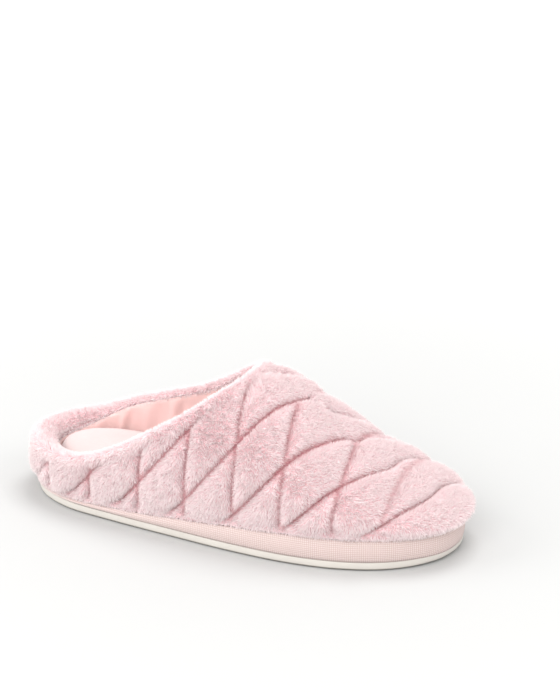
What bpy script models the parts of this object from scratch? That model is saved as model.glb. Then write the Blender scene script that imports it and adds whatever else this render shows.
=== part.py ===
# Scuff slipper, right foot: a quilted plush upper with a low closed back on a cloth-wrapped sole.
# The toe points to +X, the inner (medial) side to +Y, up is +Z, and the floor is z = 0.
# The origin is on the underside, halfway along the sole.
# Sizes below are in millimetres, with lengths counted from the heel. The meshes are made in metres.
import math

import bmesh
import bpy
import numpy as np
from mathutils import Vector
from mathutils.geometry import delaunay_2d_cdt

for item in list(bpy.data.objects):
    bpy.data.objects.remove(item, do_unlink=True)

# Last
SOLE_LENGTH = 262.0
BALL_WIDTH = 94.0
HEEL_TIP, TOE_TIP = 0.014, 0.996  # stations where the sole's edge ends, inside the padded wall
TOE_TIP_SIDE = 0.055  # how far the toe tip lies to the inner side, in ball widths
# Half widths of the sole's edge: share of the length from the heel, then shares of the ball width
OUTLINE = (
    # station, outer side, inner side
    (0.028, 0.135, 0.138),
    (0.066, 0.262, 0.268),
    (0.140, 0.375, 0.350),
    (0.270, 0.438, 0.372),
    (0.420, 0.485, 0.392),
    (0.560, 0.522, 0.435),
    (0.690, 0.528, 0.475),
    (0.800, 0.482, 0.485),
    (0.885, 0.388, 0.452),
    (0.950, 0.250, 0.342),
    (0.984, 0.118, 0.205),
)
# Height of the last's ridge over the floor. Behind the throat it only shapes the side walls.
RIDGE = (
    # station, height
    (0.00, 62.0),
    (0.15, 66.0),
    (0.30, 76.0),
    (0.42, 86.0),
    (0.50, 91.0),
    (0.56, 91.0),
    (0.62, 86.0),
    (0.72, 68.0),
    (0.80, 56.0),
    (0.90, 47.0),
    (1.00, 39.0),
)
RIDGE_SIDE = ((0.0, 0.0), (0.3, 0.0), (0.5, 0.02), (0.62, 0.03), (0.8, 0.035), (1.0, 0.04))
RIDGE_ENDS = (0.145, 0.735)  # stations where the ridge ends over the heel and over the toes
FANS = (0.20, 0.60)  # stations beyond which the sections fan round the heel and round the toe
FAN_EASE = 1.6
# Feather line: height of the seam between the plush and the cloth band
FEATHER = (
    # station, height
    (0.00, 6.6),
    (0.10, 6.8),
    (0.20, 7.9),
    (0.33, 10.0),
    (0.45, 12.8),
    (0.55, 15.4),
    (0.67, 17.4),
    (1.00, 17.8),
)
# Height of the collar where its roll begins
COLLAR = (
    # station, outer side, inner side
    (0.00, 33.0, 33.0),
    (0.10, 31.8, 37.0),
    (0.20, 35.6, 47.5),
    (0.28, 45.0, 55.0),
    (0.36, 58.0, 62.0),
    (0.43, 70.0, 71.5),
    (0.49, 82.0, 82.0),
    (0.55, 93.0, 93.0),
)
WIDTH_POWER = 2.5  # squareness of a section across, 2 being an ellipse
HEIGHT_POWER = 2.3
SWELL_LOW = 0.6  # under 1 the wall leans out most low down
SWELL_CLOSE = 0.5  # how fast the lean dies away towards the ridge
# How far the padded wall leans out past the sole's edge
WALL_SWELL = (
    # station, outer side, inner side
    (0.00, 8.0, 8.0),
    (0.10, 6.0, 6.0),
    (0.30, 4.5, 4.5),
    (0.80, 4.5, 5.0),
    (0.92, 5.0, 8.0),
    (1.00, 7.5, 7.5),
)

# Quilting: seams that lean forward as they cross from the outer side, and seams straight across
LEANING_SEAMS = (
    # forward at the outer feather line, share of the full depth
    (-142.0, 0.8),
    (-106.0, 0.9),
    (-71.0, 1.0),
    (-35.0, 1.0),
    (3.0, 0.55),
    (38.0, 0.95),
    (71.0, 1.0),
    (107.0, 1.0),
    (143.0, 1.0),
    (178.0, 1.0),
    (222.0, 1.0),
)
CROSS_SEAMS = (
    # distance from the heel, share of the full depth
    (-8.0, 1.0),
    (22.0, 1.25),
    (54.0, 1.25),
    (87.0, 1.1),
    (117.0, 1.0),
    (147.5, 0.9),
    (176.5, 0.85),
    (206.5, 0.8),
    (231.5, 0.45),
)
# How far back a cross seam has swept, by the distance up from its own side's feather line
CROSS_SWEEP = ((0.0, 0.0), (45.0, 0.5), (75.0, 3.5), (105.0, 7.0), (140.0, 9.0))
CROSS_FADE = (3.0, 20.0)  # distances from the ridge over which the cross seams come in
# Lean of a leaning seam: distance up and over the cloth from the outer feather line, distance forward
LEAN = ((-10.0, -8.0), (0.0, 0.0), (50.0, 40.0), (95.0, 68.0), (140.0, 96.0), (200.0, 142.0))
LEAN_COSINE = 0.78
LEANING_DEPTH = 3.4
CROSS_DEPTH = 2.5
CREASE_WIDTH = 3.0
CREASE_SHOULDER = 4.5  # distance from a seam where its trough ends
PUFF = 1.2
PUFF_WIDTH = 8.0
QUILT_START, QUILT_FULL = 2.0, 7.0  # distance from the collar where the quilting starts and is whole
LOW_EDGE = 5.0  # distance up from the feather line over which the creases run out
HEEL_WRAP = 40.0  # behind this the seams are spaced by the distance round the heel

# Wall and collar
WALL_THICK = (
    # station, lining to outer face, turned plush to outer face at the collar, lean of the lining
    (0.00, 12.0, 12.0, 0.0),
    (0.10, 9.0, 9.4, 1.4),
    (0.20, 7.5, 8.0, 3.4),
    (0.30, 7.2, 7.8, 4.5),
    (0.50, 7.5, 8.0, 4.5),
    (1.00, 7.5, 8.0, 4.5),
)
FACING_DROP = 1.0  # how far the turned plush reaches down inside
FACING_STEP = 1.2  # length of the slope from the plush to the lining
LEVEL_FOOT = 0.3  # share of the height over which the wall's thickness turns from level to square
GAP = 0.3

# Sole
OUTSOLE_EDGE = 5.0
OUTSOLE_BASE = 3.6
OUTSOLE_RIM = 1.4
EDGE_RADIUS = 2.0
EDGE_TURNS = (30, 60, 90)  # degrees round the lower edge
TOE_SPRING, TOE_SPRING_FROM = 2.2, 0.88
HEEL_LIFT, HEEL_LIFT_TO = 1.2, 0.07
SPRING_POWER = 1.6
BAND = 1.3  # cloth band
BAND_SWELL = 0.9
BAND_RINGS = (0.3, 0.7)  # shares of the band's height
PLATFORM = 18.0  # top of the midsole inside the upper
INSOLE_EDGE = ((0.0, 28.4), (0.30, 27.9), (0.45, 26.4), (0.60, 24.8), (0.85, 23.0), (1.0, 22.5))
INSOLE_DOME = 3.0
INSOLE_RINGS = (0.84, 0.6, 0.3)  # shares of the way from the ridge out to the edge
INSOLE_BEVEL, INSOLE_FOOT = 1.0, 1.2  # cut in at the underside's edge, and how far up it runs
INSOLE_SHOULDER = ((0.0, 3.4), (1.2, 1.2), (3.6, 0.0))  # moved in, drop below the edge height
TREAD_DEPTH, TREAD_WIDTH, TREAD_PITCH = 1.2, 3.0, 14.0
TREAD_INSET = 11.0
TREAD_REACH = 6.0  # stretch of edge either way that a groove's ends are measured from

# How finely the shapes are followed
COLUMNS, ROWS = 720, 61
FEATHER_COUNT, COLLAR_COUNT, SOLE_COUNT = 112, 92, 120
CURVE_SAMPLES = 40
CAP_SAMPLES, CAP_CLEAR = 60, 2.0  # spots tried across a cap, and their least distance from its rim
COARSE_COLUMNS, COARSE_ROWS = 4, 2  # step of the first search for a place in the chart
PLACE_TURNS = 5
PLACE_NUDGE = 0.25
ROLL_STEPS = 6
SEAM_STEP = 6.5
SEAM_JOIN = 16.0  # spots further apart than this start a new stretch of seam
FACE_STEP = 9.0  # triangle side on the outer face
EDGE_CLEAR = 3.5  # room kept free beside the feather line and the collar
SEAM_CLEAR = 5.0  # and beside a seam's own points
LINING_STEP = 15.0
LINING_CLEAR = 7.0
LINING_LOW_ROW = 4.0  # row of the skin's grid where the lining turns level


def table(stations, rows, column=1):
    """A smooth curve through one column of a table."""
    xs = np.array([row[0] for row in rows], float)
    ys = np.array([row[column] for row in rows], float)
    slopes = np.gradient(ys, xs)
    x = np.clip(stations, xs[0], xs[-1])
    i = np.clip(np.searchsorted(xs, x) - 1, 0, len(xs) - 2)
    span = xs[i + 1] - xs[i]
    t = (x - xs[i]) / span
    start = (2 * t**3 - 3 * t**2 + 1) * ys[i] + (t**3 - 2 * t**2 + t) * span * slopes[i]
    end = (3 * t**2 - 2 * t**3) * ys[i + 1] + (t**3 - t**2) * span * slopes[i + 1]
    return start + end


def ease(value, low, high):
    t = np.clip((value - low) / (high - low), 0, 1)
    return t * t * (3 - 2 * t)


def spaced(curve, count):
    """Points at even distances along a closed curve."""
    ring = np.vstack([curve, curve[:1]])
    along = np.r_[0, np.cumsum(np.linalg.norm(np.diff(ring, axis=0), axis=1))]
    at = np.linspace(0, along[-1], count, endpoint=False)
    return np.stack([np.interp(at, along, ring[:, k]) for k in range(ring.shape[1])], axis=1)


def sole_edge(count):
    """The sole's outline from the heel round by the outer side, with its outward directions."""
    corners = [(HEEL_TIP * SOLE_LENGTH, 0.0)]
    corners += [(s * SOLE_LENGTH, -a * BALL_WIDTH) for s, a, b in OUTLINE]
    corners += [(TOE_TIP * SOLE_LENGTH, TOE_TIP_SIDE * BALL_WIDTH)]
    corners += [(s * SOLE_LENGTH, b * BALL_WIDTH) for s, a, b in reversed(OUTLINE)]
    p = np.array(corners)
    knots = np.linalg.norm(np.roll(p, -1, axis=0) - p, axis=1) ** 0.5
    curve = []
    for i in range(len(p)):
        a, b, c, d = p[i - 1], p[i], p[(i + 1) % len(p)], p[(i + 2) % len(p)]
        t1 = knots[i - 1]
        t2 = t1 + knots[i]
        t3 = t2 + knots[(i + 1) % len(p)]
        t = np.linspace(t1, t2, CURVE_SAMPLES, endpoint=False)[:, None]
        ab = a + (b - a) * t / t1
        bc = b + (c - b) * (t - t1) / (t2 - t1)
        cd = c + (d - c) * (t - t2) / (t3 - t2)
        abc = ab + (bc - ab) * t / t2
        bcd = bc + (cd - bc) * (t - t1) / (t3 - t1)
        curve.append(abc + (bcd - abc) * (t - t1) / (t2 - t1))
    edge = spaced(np.concatenate(curve), count)
    return edge, ring_sides(edge)


def ring_sides(ring):
    """Directions in the plane that point out of a closed line."""
    ahead = np.roll(ring, -1, axis=0) - np.roll(ring, 1, axis=0)
    ahead /= np.linalg.norm(ahead, axis=1)[:, None]
    side = np.c_[ahead[:, 1], -ahead[:, 0]]
    return side if ((ring - ring.mean(axis=0)) * side).sum() > 0 else -side


def ridge_under(x):
    """Where the section through station x of the edge meets the ridge, as a station."""
    back, front = FANS
    reach = 1 - (1 - np.clip((x - front) / (1 - front), 0, 1)) ** FAN_EASE
    station = np.where(x > front, front + (RIDGE_ENDS[1] - front) * reach, x)
    reach = 1 - (1 - np.clip((back - x) / back, 0, 1)) ** FAN_EASE
    return np.where(x < back, back - (back - RIDGE_ENDS[0]) * reach, station)


class Skin:
    """The upper's outer face on the last, as a grid: columns round the sole's edge, rows up to the ridge."""

    def __init__(self):
        edge, side = sole_edge(COLUMNS)
        station = edge[:, 0] / SOLE_LENGTH
        on_ridge = ridge_under(station)
        centre = np.c_[on_ridge * SOLE_LENGTH, BALL_WIDTH * table(on_ridge, RIDGE_SIDE)]
        self.rise = np.linspace(0, 1, ROWS)
        angle = self.rise * math.pi / 2
        across = np.clip(np.cos(angle), 0, 1) ** (2 / WIDTH_POWER)
        height = np.sin(angle) ** (2 / HEIGHT_POWER)
        self.toe = int(np.argmax(edge[:, 0]))
        self.outer = np.arange(COLUMNS) <= self.toe
        lean_out = np.where(self.outer, table(station, WALL_SWELL, 1), table(station, WALL_SWELL, 2))
        lean_shape = np.sin(math.pi * height**SWELL_LOW) * across**SWELL_CLOSE
        swell = lean_out[:, None] * lean_shape
        padding = (lean_out - table(station, WALL_THICK, 3))[:, None] * lean_shape
        self.padding = np.dstack([side[:, None] * padding[..., None], 0 * padding])
        spoke = edge - centre
        plan = centre[:, None] + spoke[:, None] * across[:, None] + side[:, None] * swell[..., None]
        low = table(station, FEATHER)[:, None]
        top = table(plan[..., 0] / SOLE_LENGTH, RIDGE)
        self.points = np.dstack([plan, low + (top - low) * height])
        steps = np.linalg.norm(np.diff(self.points, axis=1), axis=2)
        self.up = np.concatenate([np.zeros((COLUMNS, 1)), np.cumsum(steps, axis=1)], axis=1)
        way = spoke / np.linalg.norm(spoke, axis=1)[:, None]
        self.chart = centre[:, None] + way[:, None] * (self.up[:, -1:] - self.up)[..., None]
        self.height = np.broadcast_to(height, self.points.shape[:2]).copy()
        self.side = side
        self.edge = edge
        self.station = station
        round_way = np.roll(self.points, -1, axis=0) - np.roll(self.points, 1, axis=0)
        up_way = np.gradient(self.points, axis=1)
        normal = np.cross(up_way, round_way)
        size = np.linalg.norm(normal, axis=2)[..., None]
        normal = normal / np.maximum(size, 1e-9)
        normal[:, -1] = normal[:, -2]
        middle = self.points.mean(axis=(0, 1))
        if ((self.points - middle) * normal).sum() < 0:
            normal = -normal
        self.normal = normal
        self.measure_cloth()

    def measure_cloth(self):
        """Distances over the cloth: forward from the heel, and up and over from the outer feather line."""
        up = self.up
        step = np.linalg.norm(np.roll(self.edge, -1, axis=0) - self.edge, axis=1)
        walked = np.r_[0, np.cumsum(step)[:-1]]
        walked = np.minimum(walked, step.sum() - walked)
        wrap_at = np.interp(HEEL_WRAP, self.edge[: self.toe, 0], walked[: self.toe])
        wrapped = np.where(walked < wrap_at, HEEL_WRAP - (wrap_at - walked), self.edge[:, 0])
        self.forward = self.points[..., 0] + (wrapped - self.edge[:, 0])[:, None]
        # Height of the cloth at the middle line, for each place along the shoe
        toe_x = self.points[self.toe, ::-1, 0]
        toe_up = up[self.toe, ::-1]
        back = np.arange(0, self.toe)
        back = back[self.station[back] < RIDGE_ENDS[1]]
        whole = np.interp(self.points[..., 0], self.edge[back, 0], up[back, -1])
        middle = np.where(
            self.points[..., 0] > toe_x[0], np.interp(self.points[..., 0], toe_x, toe_up), whole
        )
        self.over = np.where(self.outer[:, None], up, np.maximum(2 * middle - up, middle))
        self.lean = self.forward - table(self.over, LEAN)
        self.cross = self.forward + table(up, CROSS_SWEEP)
        self.from_ridge = up[:, -1:] - up

    def at(self, field, place):
        """A field of the grid at fractional (column, row) places."""
        column = np.floor(place[:, 0]).astype(int)
        row = np.clip(np.floor(place[:, 1]).astype(int), 0, ROWS - 2)
        c = place[:, 0] - column
        r = place[:, 1] - row
        if field.ndim == 3:
            c = c[:, None]
            r = r[:, None]
        near = column % COLUMNS
        far = (column + 1) % COLUMNS
        first = field[near, row] * (1 - r) + field[near, row + 1] * r
        second = field[far, row] * (1 - r) + field[far, row + 1] * r
        return first * (1 - c) + second * c

    def wall(self, place, column):
        """The wall's thickness at places of the grid, as one column."""
        station = np.interp(place[:, 0] % COLUMNS, np.arange(COLUMNS), self.station)
        return table(station, WALL_THICK, column)[:, None]

    def place(self, spots):
        """The fractional (column, row) places of spots in the chart."""
        found = np.empty((len(spots), 2))
        coarse = self.chart[::COARSE_COLUMNS, ::COARSE_ROWS]
        for n, spot in enumerate(spots):
            apart = ((coarse - spot) ** 2).sum(axis=2)
            found[n] = np.unravel_index(np.argmin(apart), apart.shape)
        found *= (COARSE_COLUMNS, COARSE_ROWS)
        nudge = PLACE_NUDGE
        for turn in range(PLACE_TURNS):
            here = self.at(self.chart, found)
            row = np.where(found[:, 1] > ROWS - 2, -nudge, nudge)
            by_column = (self.at(self.chart, found + [nudge, 0]) - here) / nudge
            by_row = (self.at(self.chart, found + np.c_[0 * row, row]) - here) / row[:, None]
            miss = spots - here
            area = by_column[:, 0] * by_row[:, 1] - by_column[:, 1] * by_row[:, 0]
            sound = np.abs(area) > 1e-3
            area = np.where(sound, area, 1.0)
            columns = (miss[:, 0] * by_row[:, 1] - miss[:, 1] * by_row[:, 0]) / area
            rows = (by_column[:, 0] * miss[:, 1] - by_column[:, 1] * miss[:, 0]) / area
            found[:, 0] += np.clip(np.where(sound, columns, 0), -3, 3)
            found[:, 1] = np.clip(found[:, 1] + np.clip(np.where(sound, rows, 0), -2, 2), 0, ROWS - 1)
        return found


def collar_line(skin):
    """The collar in the chart, where the roll begins: from the throat by the inner side and the heel."""
    spots = []
    heel_first = list(range(skin.toe, COLUMNS)) + list(range(0, skin.toe))
    for column in heel_first:
        x = skin.station[column]
        if x > COLLAR[-1][0]:
            continue
        rim = table(np.array([x]), COLLAR, 1 if skin.outer[column] else 2)[0]
        heights = skin.points[column, :, 2]
        if rim >= heights[-1]:
            continue
        row = np.interp(rim, heights, np.arange(ROWS))
        spots.append(skin.at(skin.chart, np.array([[column, row]]))[0])
    return np.array(spots)


def distance_to(ring, spots):
    """The shortest distance in the chart from each spot to a closed line."""
    start = ring
    run = np.roll(ring, -1, axis=0) - start
    length = (run**2).sum(axis=1)
    offset = spots[:, None] - start
    t = np.clip((offset * run).sum(axis=2) / length, 0, 1)
    return np.linalg.norm(offset - t[..., None] * run, axis=2).min(axis=1)


def inside(ring, spots):
    x, y = spots[:, 0][:, None], spots[:, 1][:, None]
    a, b = ring, np.roll(ring, -1, axis=0)
    straddles = (a[:, 1] > y) != (b[:, 1] > y)
    cut = a[:, 0] + (y - a[:, 1]) * (b[:, 0] - a[:, 0]) / np.where(b[:, 1] == a[:, 1], 1, b[:, 1] - a[:, 1])
    return (straddles & (x < cut)).sum(axis=1) % 2 == 1


def nearest_seam(values, seams):
    """Distance to the nearest seam of a table, and that seam's share of the full depth."""
    seams = np.array(seams)
    apart = np.abs(values[:, None] - seams[:, 0])
    nearest = np.argmin(apart, axis=1)
    return apart.min(axis=1), seams[nearest, 1]


def quilting(skin, place, from_collar):
    """How deep the outer face lies under the loft of the plush."""
    leaning, lean_share = nearest_seam(skin.at(skin.lean, place), LEANING_SEAMS)
    leaning = leaning * LEAN_COSINE
    crossing, cross_share = nearest_seam(skin.at(skin.cross, place), CROSS_SEAMS)
    cross_share = cross_share * ease(skin.at(skin.from_ridge, place), *CROSS_FADE)
    crease = np.maximum(
        LEANING_DEPTH * lean_share * np.exp(-((leaning / CREASE_WIDTH) ** 2)),
        CROSS_DEPTH * cross_share * np.exp(-((crossing / CREASE_WIDTH) ** 2)),
    )
    nearest = np.minimum(leaning, crossing)
    sag = PUFF * np.exp(-((nearest / PUFF_WIDTH) ** 2))
    whole = ease(from_collar, QUILT_START, QUILT_FULL)
    low_edge = ease(skin.at(skin.up, place), 0.0, LOW_EDGE)
    return (crease + sag) * whole * low_edge


def crossing_share(values):
    """Where a row of values first changes sign, counted in steps, or None."""
    changes = np.nonzero((values[:-1] < 0) != (values[1:] < 0))[0]
    if len(changes) == 0:
        return None
    k = changes[0]
    return k + values[k] / (values[k] - values[k + 1])


def leaning_seam(skin, level):
    """Spots in the chart along a leaning seam, column by column from the outer side to the inner side."""
    places = []
    for column in range(COLUMNS):
        row = crossing_share(skin.lean[column] - level)
        if row is not None:
            places.append((column, row))
    return skin.at(skin.chart, np.array(places)) if places else np.empty((0, 2))


def cross_seam(skin, level):
    """Spots in the chart along a seam straight across, up the outer side and down the inner side."""
    halves = []
    for columns in (np.arange(0, skin.toe), np.arange(COLUMNS - 1, skin.toe, -1)):
        places = []
        for row in range(ROWS):
            share = crossing_share(skin.cross[columns, row] - level)
            if share is None:
                break
            places.append((np.interp(share, np.arange(len(columns)), columns), row))
        halves.append(skin.at(skin.chart, np.array(places)) if places else np.empty((0, 2)))
    return np.concatenate([halves[0], halves[1][::-1]])


def runs_of(line, keep):
    """The stretches of a line where keep holds and whose spots follow closely."""
    stretches = []
    last = None
    for k in np.nonzero(keep)[0]:
        follows = last == k - 1 and np.linalg.norm(line[k] - line[last]) < SEAM_JOIN
        if follows:
            stretches[-1].append(line[k])
        else:
            stretches.append([line[k]])
        last = k
    return [np.array(stretch) for stretch in stretches if len(stretch) > 2]


def even(points, spacing):
    along = np.r_[0, np.cumsum(np.linalg.norm(np.diff(points, axis=0), axis=1))]
    count = max(2, int(round(along[-1] / spacing)) + 1)
    at = np.linspace(0, along[-1], count)
    return np.stack([np.interp(at, along, points[:, k]) for k in range(2)], axis=1)


def between(outer, inner, step, clear):
    """Spots on a grid of equal triangles between two closed lines, clear of both."""
    low, high = outer.min(axis=0), outer.max(axis=0)
    rise = step * math.sqrt(3) / 2
    across, along = np.meshgrid(np.arange(low[1], high[1], rise), np.arange(low[0], high[0], step))
    line = np.round((across - low[1]) / rise).astype(int)
    spots = np.c_[(along + (line % 2) * step / 2).ravel(), across.ravel()]
    spots = spots[inside(outer, spots) & ~inside(inner, spots)]
    return spots[(distance_to(outer, spots) > clear) & (distance_to(inner, spots) > clear)]


def triangulate(loops, lines, spots):
    """Points and triangles inside the first loop and outside the others, with edges along the given lines."""
    points = []
    edges = []
    for loop in loops:
        first = len(points)
        points += [Vector(p) for p in loop]
        edges += [(first + k, first + (k + 1) % len(loop)) for k in range(len(loop))]
    for line in lines:
        first = len(points)
        points += [Vector(p) for p in line]
        edges += [(first + k, first + k + 1) for k in range(len(line) - 1)]
    points += [Vector(p) for p in spots]
    found = delaunay_2d_cdt(points, edges, [], 0, 1e-4)
    made = np.array([tuple(p) for p in found[0]])
    faces = np.array([tuple(face) for face in found[2]])
    middles = made[faces].mean(axis=1)
    keep = inside(np.array(loops[0]), middles)
    for hole in loops[1:]:
        keep &= ~inside(np.array(hole), middles)
    where = {}
    for new, olds in enumerate(found[3]):
        for old in olds:
            where[old] = new
    return made, faces[keep], where


def mesh_object(name, points, faces, colour, roughness):
    work = bmesh.new()
    origin = Vector((SOLE_LENGTH / 2, 0, 0))
    corners = [work.verts.new((Vector(p) - origin) * 0.001) for p in points]
    for face in faces:
        work.faces.new([corners[k] for k in face])
    loose = [corner for corner in corners if not corner.link_faces]
    bmesh.ops.delete(work, geom=loose, context="VERTS")
    bmesh.ops.recalc_face_normals(work, faces=work.faces)
    bmesh.ops.triangulate(work, faces=[face for face in work.faces if len(face.verts) > 4])
    if work.calc_volume(signed=True) < 0:
        bmesh.ops.reverse_faces(work, faces=work.faces)
    for face in work.faces:
        face.smooth = True
    mesh = bpy.data.meshes.new(name)
    work.to_mesh(mesh)
    work.free()
    piece = bpy.data.objects.new(name, mesh)
    bpy.context.scene.collection.objects.link(piece)
    finish = bpy.data.materials.new(name)
    finish.use_nodes = True
    shader = finish.node_tree.nodes["Principled BSDF"]
    shader.inputs["Base Color"].default_value = (*colour, 1.0)
    shader.inputs["Roughness"].default_value = roughness
    mesh.materials.append(finish)
    return piece


def linear(code):
    """Linear colour from an sRGB hex code."""
    parts = [int(code[k : k + 2], 16) / 255 for k in (0, 2, 4)]
    return tuple(p / 12.92 if p <= 0.04045 else ((p + 0.055) / 1.055) ** 2.4 for p in parts)


def make_upper(skin):
    feather_places = np.c_[np.arange(FEATHER_COUNT) * COLUMNS / FEATHER_COUNT, np.zeros(FEATHER_COUNT)]
    feather = skin.at(skin.chart, feather_places)
    collar = spaced(collar_line(skin), COLLAR_COUNT)
    # Outer face, with mesh edges along the seams and along both shoulders of each
    lines = []
    shifts = (-CREASE_SHOULDER, 0.0, CREASE_SHOULDER)
    found = [leaning_seam(skin, level + d / LEAN_COSINE) for level, share in LEANING_SEAMS for d in shifts]
    found += [cross_seam(skin, level + d) for level, share in CROSS_SEAMS for d in shifts]
    for line in found:
        if len(line):
            clear = ~inside(collar, line) & (distance_to(collar, line) > QUILT_START)
            clear &= distance_to(feather, line) > EDGE_CLEAR
            lines += [even(stretch, SEAM_STEP) for stretch in runs_of(line, clear)]
    seams = np.concatenate(lines)
    spots = between(feather, collar, FACE_STEP, EDGE_CLEAR)
    apart = np.array([np.min(((seams - spot) ** 2).sum(axis=1)) for spot in spots]) ** 0.5
    made, faces, where = triangulate([feather, collar], lines, spots[apart > SEAM_CLEAR])
    places = skin.place(made)
    for k in range(FEATHER_COUNT):
        places[where[k]] = feather_places[k]
    collar_rim = skin.at(skin.points, skin.place(collar))
    depth = quilting(skin, places, distance_to(collar_rim, skin.at(skin.points, places)))
    outer_points = skin.at(skin.points, places) - skin.at(skin.normal, places) * depth[:, None]
    feather_index = [where[k] for k in range(FEATHER_COUNT)]
    collar_index = [where[FEATHER_COUNT + k] for k in range(COLLAR_COUNT)]
    points = list(outer_points)
    triangles = [tuple(face) for face in faces]
    # Roll over the collar: half a round from the outer face to the turned-in plush
    rim_place = skin.place(collar)
    rim_points = outer_points[collar_index]
    rim_normal = skin.at(skin.normal, rim_place)
    rim_normal /= np.linalg.norm(rim_normal, axis=1)[:, None]
    ahead = np.roll(rim_points, -1, axis=0) - np.roll(rim_points, 1, axis=0)
    ahead /= np.linalg.norm(ahead, axis=1)[:, None]
    away = np.cross(rim_normal, ahead)
    away /= np.linalg.norm(away, axis=1)[:, None]
    towards = skin.at(skin.points, skin.place(collar - ring_sides(collar) * 2.0)) - rim_points
    away *= np.sign((away * towards).sum(axis=1))[:, None]
    facing = skin.wall(rim_place, 2)
    half = (facing + np.linalg.norm(skin.at(skin.padding, rim_place), axis=1)[:, None]) / 2
    previous = collar_index
    for k in range(1, ROLL_STEPS + 1):
        turn = math.pi * k / ROLL_STEPS
        ring = rim_points - rim_normal * half * (1 - math.cos(turn)) + away * facing / 2 * math.sin(turn)
        first = len(points)
        points += list(ring)
        index = list(range(first, first + COLLAR_COUNT))
        triangles += strip(previous, index)
        previous = index
    # Turned-in plush down to its seam, then a small step out to the lining
    for drop, column in ((FACING_DROP, 2), (FACING_DROP + FACING_STEP, 1)):
        spots = collar + ring_sides(collar) * drop
        ring = inner_face(skin, skin.place(spots), column)
        first = len(points)
        points += list(ring)
        index = list(range(first, first + COLLAR_COUNT))
        triangles += strip(previous, index)
        previous = index
    lining_collar = spots
    # Lining down to the feather line
    low_ring = skin.at(skin.chart, feather_places[::2] + [0, LINING_LOW_ROW])
    clear = ~inside(lining_collar, low_ring) & (distance_to(lining_collar, low_ring) > SEAM_CLEAR)
    low_ring = low_ring[clear]
    inner_spots = np.concatenate([between(feather, lining_collar, LINING_STEP, LINING_CLEAR), low_ring])
    made, faces, where = triangulate([feather, lining_collar], [], inner_spots)
    places = skin.place(made)
    for k in range(FEATHER_COUNT):
        places[where[k]] = feather_places[k]
    lining = inner_face(skin, places, 1)
    first = len(points)
    points += list(lining)
    renumber = {first + where[FEATHER_COUNT + k]: previous[k] for k in range(COLLAR_COUNT)}
    for face in faces:
        triangles.append(tuple(renumber.get(first + k, first + k) for k in face))
    inner_index = [first + where[k] for k in range(FEATHER_COUNT)]
    triangles += strip(feather_index, inner_index)
    return mesh_object("upper", points, triangles, linear("EECACA"), 0.95)


def inner_face(skin, place, column):
    """Points on the inner face, with the wall from a column of its table, measured level at the foot."""
    normal = skin.at(skin.normal, place)
    level = ease(skin.at(skin.height, place), 0.0, LEVEL_FOOT)
    flat = normal.copy()
    flat[:, 2] = 0
    flat /= np.maximum(np.linalg.norm(flat, axis=1), 1e-6)[:, None]
    way = flat * (1 - level)[:, None] + normal * level[:, None]
    way /= np.linalg.norm(way, axis=1)[:, None]
    return skin.at(skin.points, place) - skin.at(skin.padding, place) - way * skin.wall(place, column)


def strip(first, second):
    """Triangles between two rings of the same length."""
    count = len(first)
    made = []
    for k in range(count):
        n = (k + 1) % count
        made.append((first[k], first[n], second[n]))
        made.append((first[k], second[n], second[k]))
    return made


def spring(x):
    """How far the sole's underside lifts at the toe and the heel, for x in mm from the heel."""
    toe = np.clip((x / SOLE_LENGTH - TOE_SPRING_FROM) / (1 - TOE_SPRING_FROM), 0, 1)
    heel = np.clip(1 - x / SOLE_LENGTH / HEEL_LIFT_TO, 0, 1)
    return TOE_SPRING * toe**SPRING_POWER + HEEL_LIFT * heel**SPRING_POWER


def inset_ring(edge, side, inset, height):
    """The sole's outline moved in. The lower its height, the more it follows the toe spring."""
    plan = edge - side * np.broadcast_to(inset, len(edge))[:, None]
    lift = spring(plan[:, 0]) * np.clip(1 - height / FEATHER[0][1], 0, 1)
    return np.c_[plan, height + lift]


class Shell:
    """Rings of points joined one to the next, closed by caps."""

    def __init__(self):
        self.points = []
        self.faces = []
        self.last = None

    def ring(self, points):
        first = len(self.points)
        self.points += list(points)
        index = list(range(first, first + len(points)))
        if self.last is not None:
            self.faces += strip(self.last, index)
        self.last = index
        return index

    def cap(self, index):
        """Closes a ring with triangles that follow the sole's lift from station to station."""
        rim = np.array([self.points[k] for k in index])
        base = rim[:, 2] - spring(rim[:, 0])
        lines = []
        for station in (HEEL_LIFT_TO, TOE_SPRING_FROM, (1 + TOE_SPRING_FROM) / 2):
            x = station * SOLE_LENGTH
            reach = np.array([[x, y] for y in np.linspace(rim[:, 1].min(), rim[:, 1].max(), CAP_SAMPLES)])
            reach = reach[inside(rim[:, :2], reach) & (distance_to(rim[:, :2], reach) > CAP_CLEAR)]
            lines.append(reach[[0, len(reach) // 2, -1]])
        made, faces, where = triangulate([rim[:, :2]], lines, [])
        first = len(self.points)
        self.points += [(x, y, base.min() + spring(x)) for x, y in made]
        renumber = {first + where[k]: index[k] for k in range(len(index))}
        self.faces += [tuple(renumber.get(first + k, first + k) for k in face) for face in faces]


def make_outsole(edge, side):
    shell = Shell()
    low = shell.ring(inset_ring(edge, side, EDGE_RADIUS, 0.0))
    for turn in EDGE_TURNS:
        angle = math.radians(turn)
        inset = EDGE_RADIUS * (1 - math.sin(angle))
        shell.ring(inset_ring(edge, side, inset, EDGE_RADIUS * (1 - math.cos(angle))))
    shell.ring(inset_ring(edge, side, 0.0, OUTSOLE_EDGE))
    shell.ring(inset_ring(edge, side, OUTSOLE_RIM, OUTSOLE_EDGE))
    high = shell.ring(inset_ring(edge, side, OUTSOLE_RIM, OUTSOLE_BASE))
    shell.cap(low)
    shell.cap(high)
    outsole = mesh_object("outsole", shell.points, shell.faces, linear("DDD6CC"), 0.6)
    cutter = make_tread(edge)
    cut = outsole.modifiers.new("tread", "BOOLEAN")
    cut.operation = "DIFFERENCE"
    cut.solver = "EXACT"
    cut.object = cutter


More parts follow.
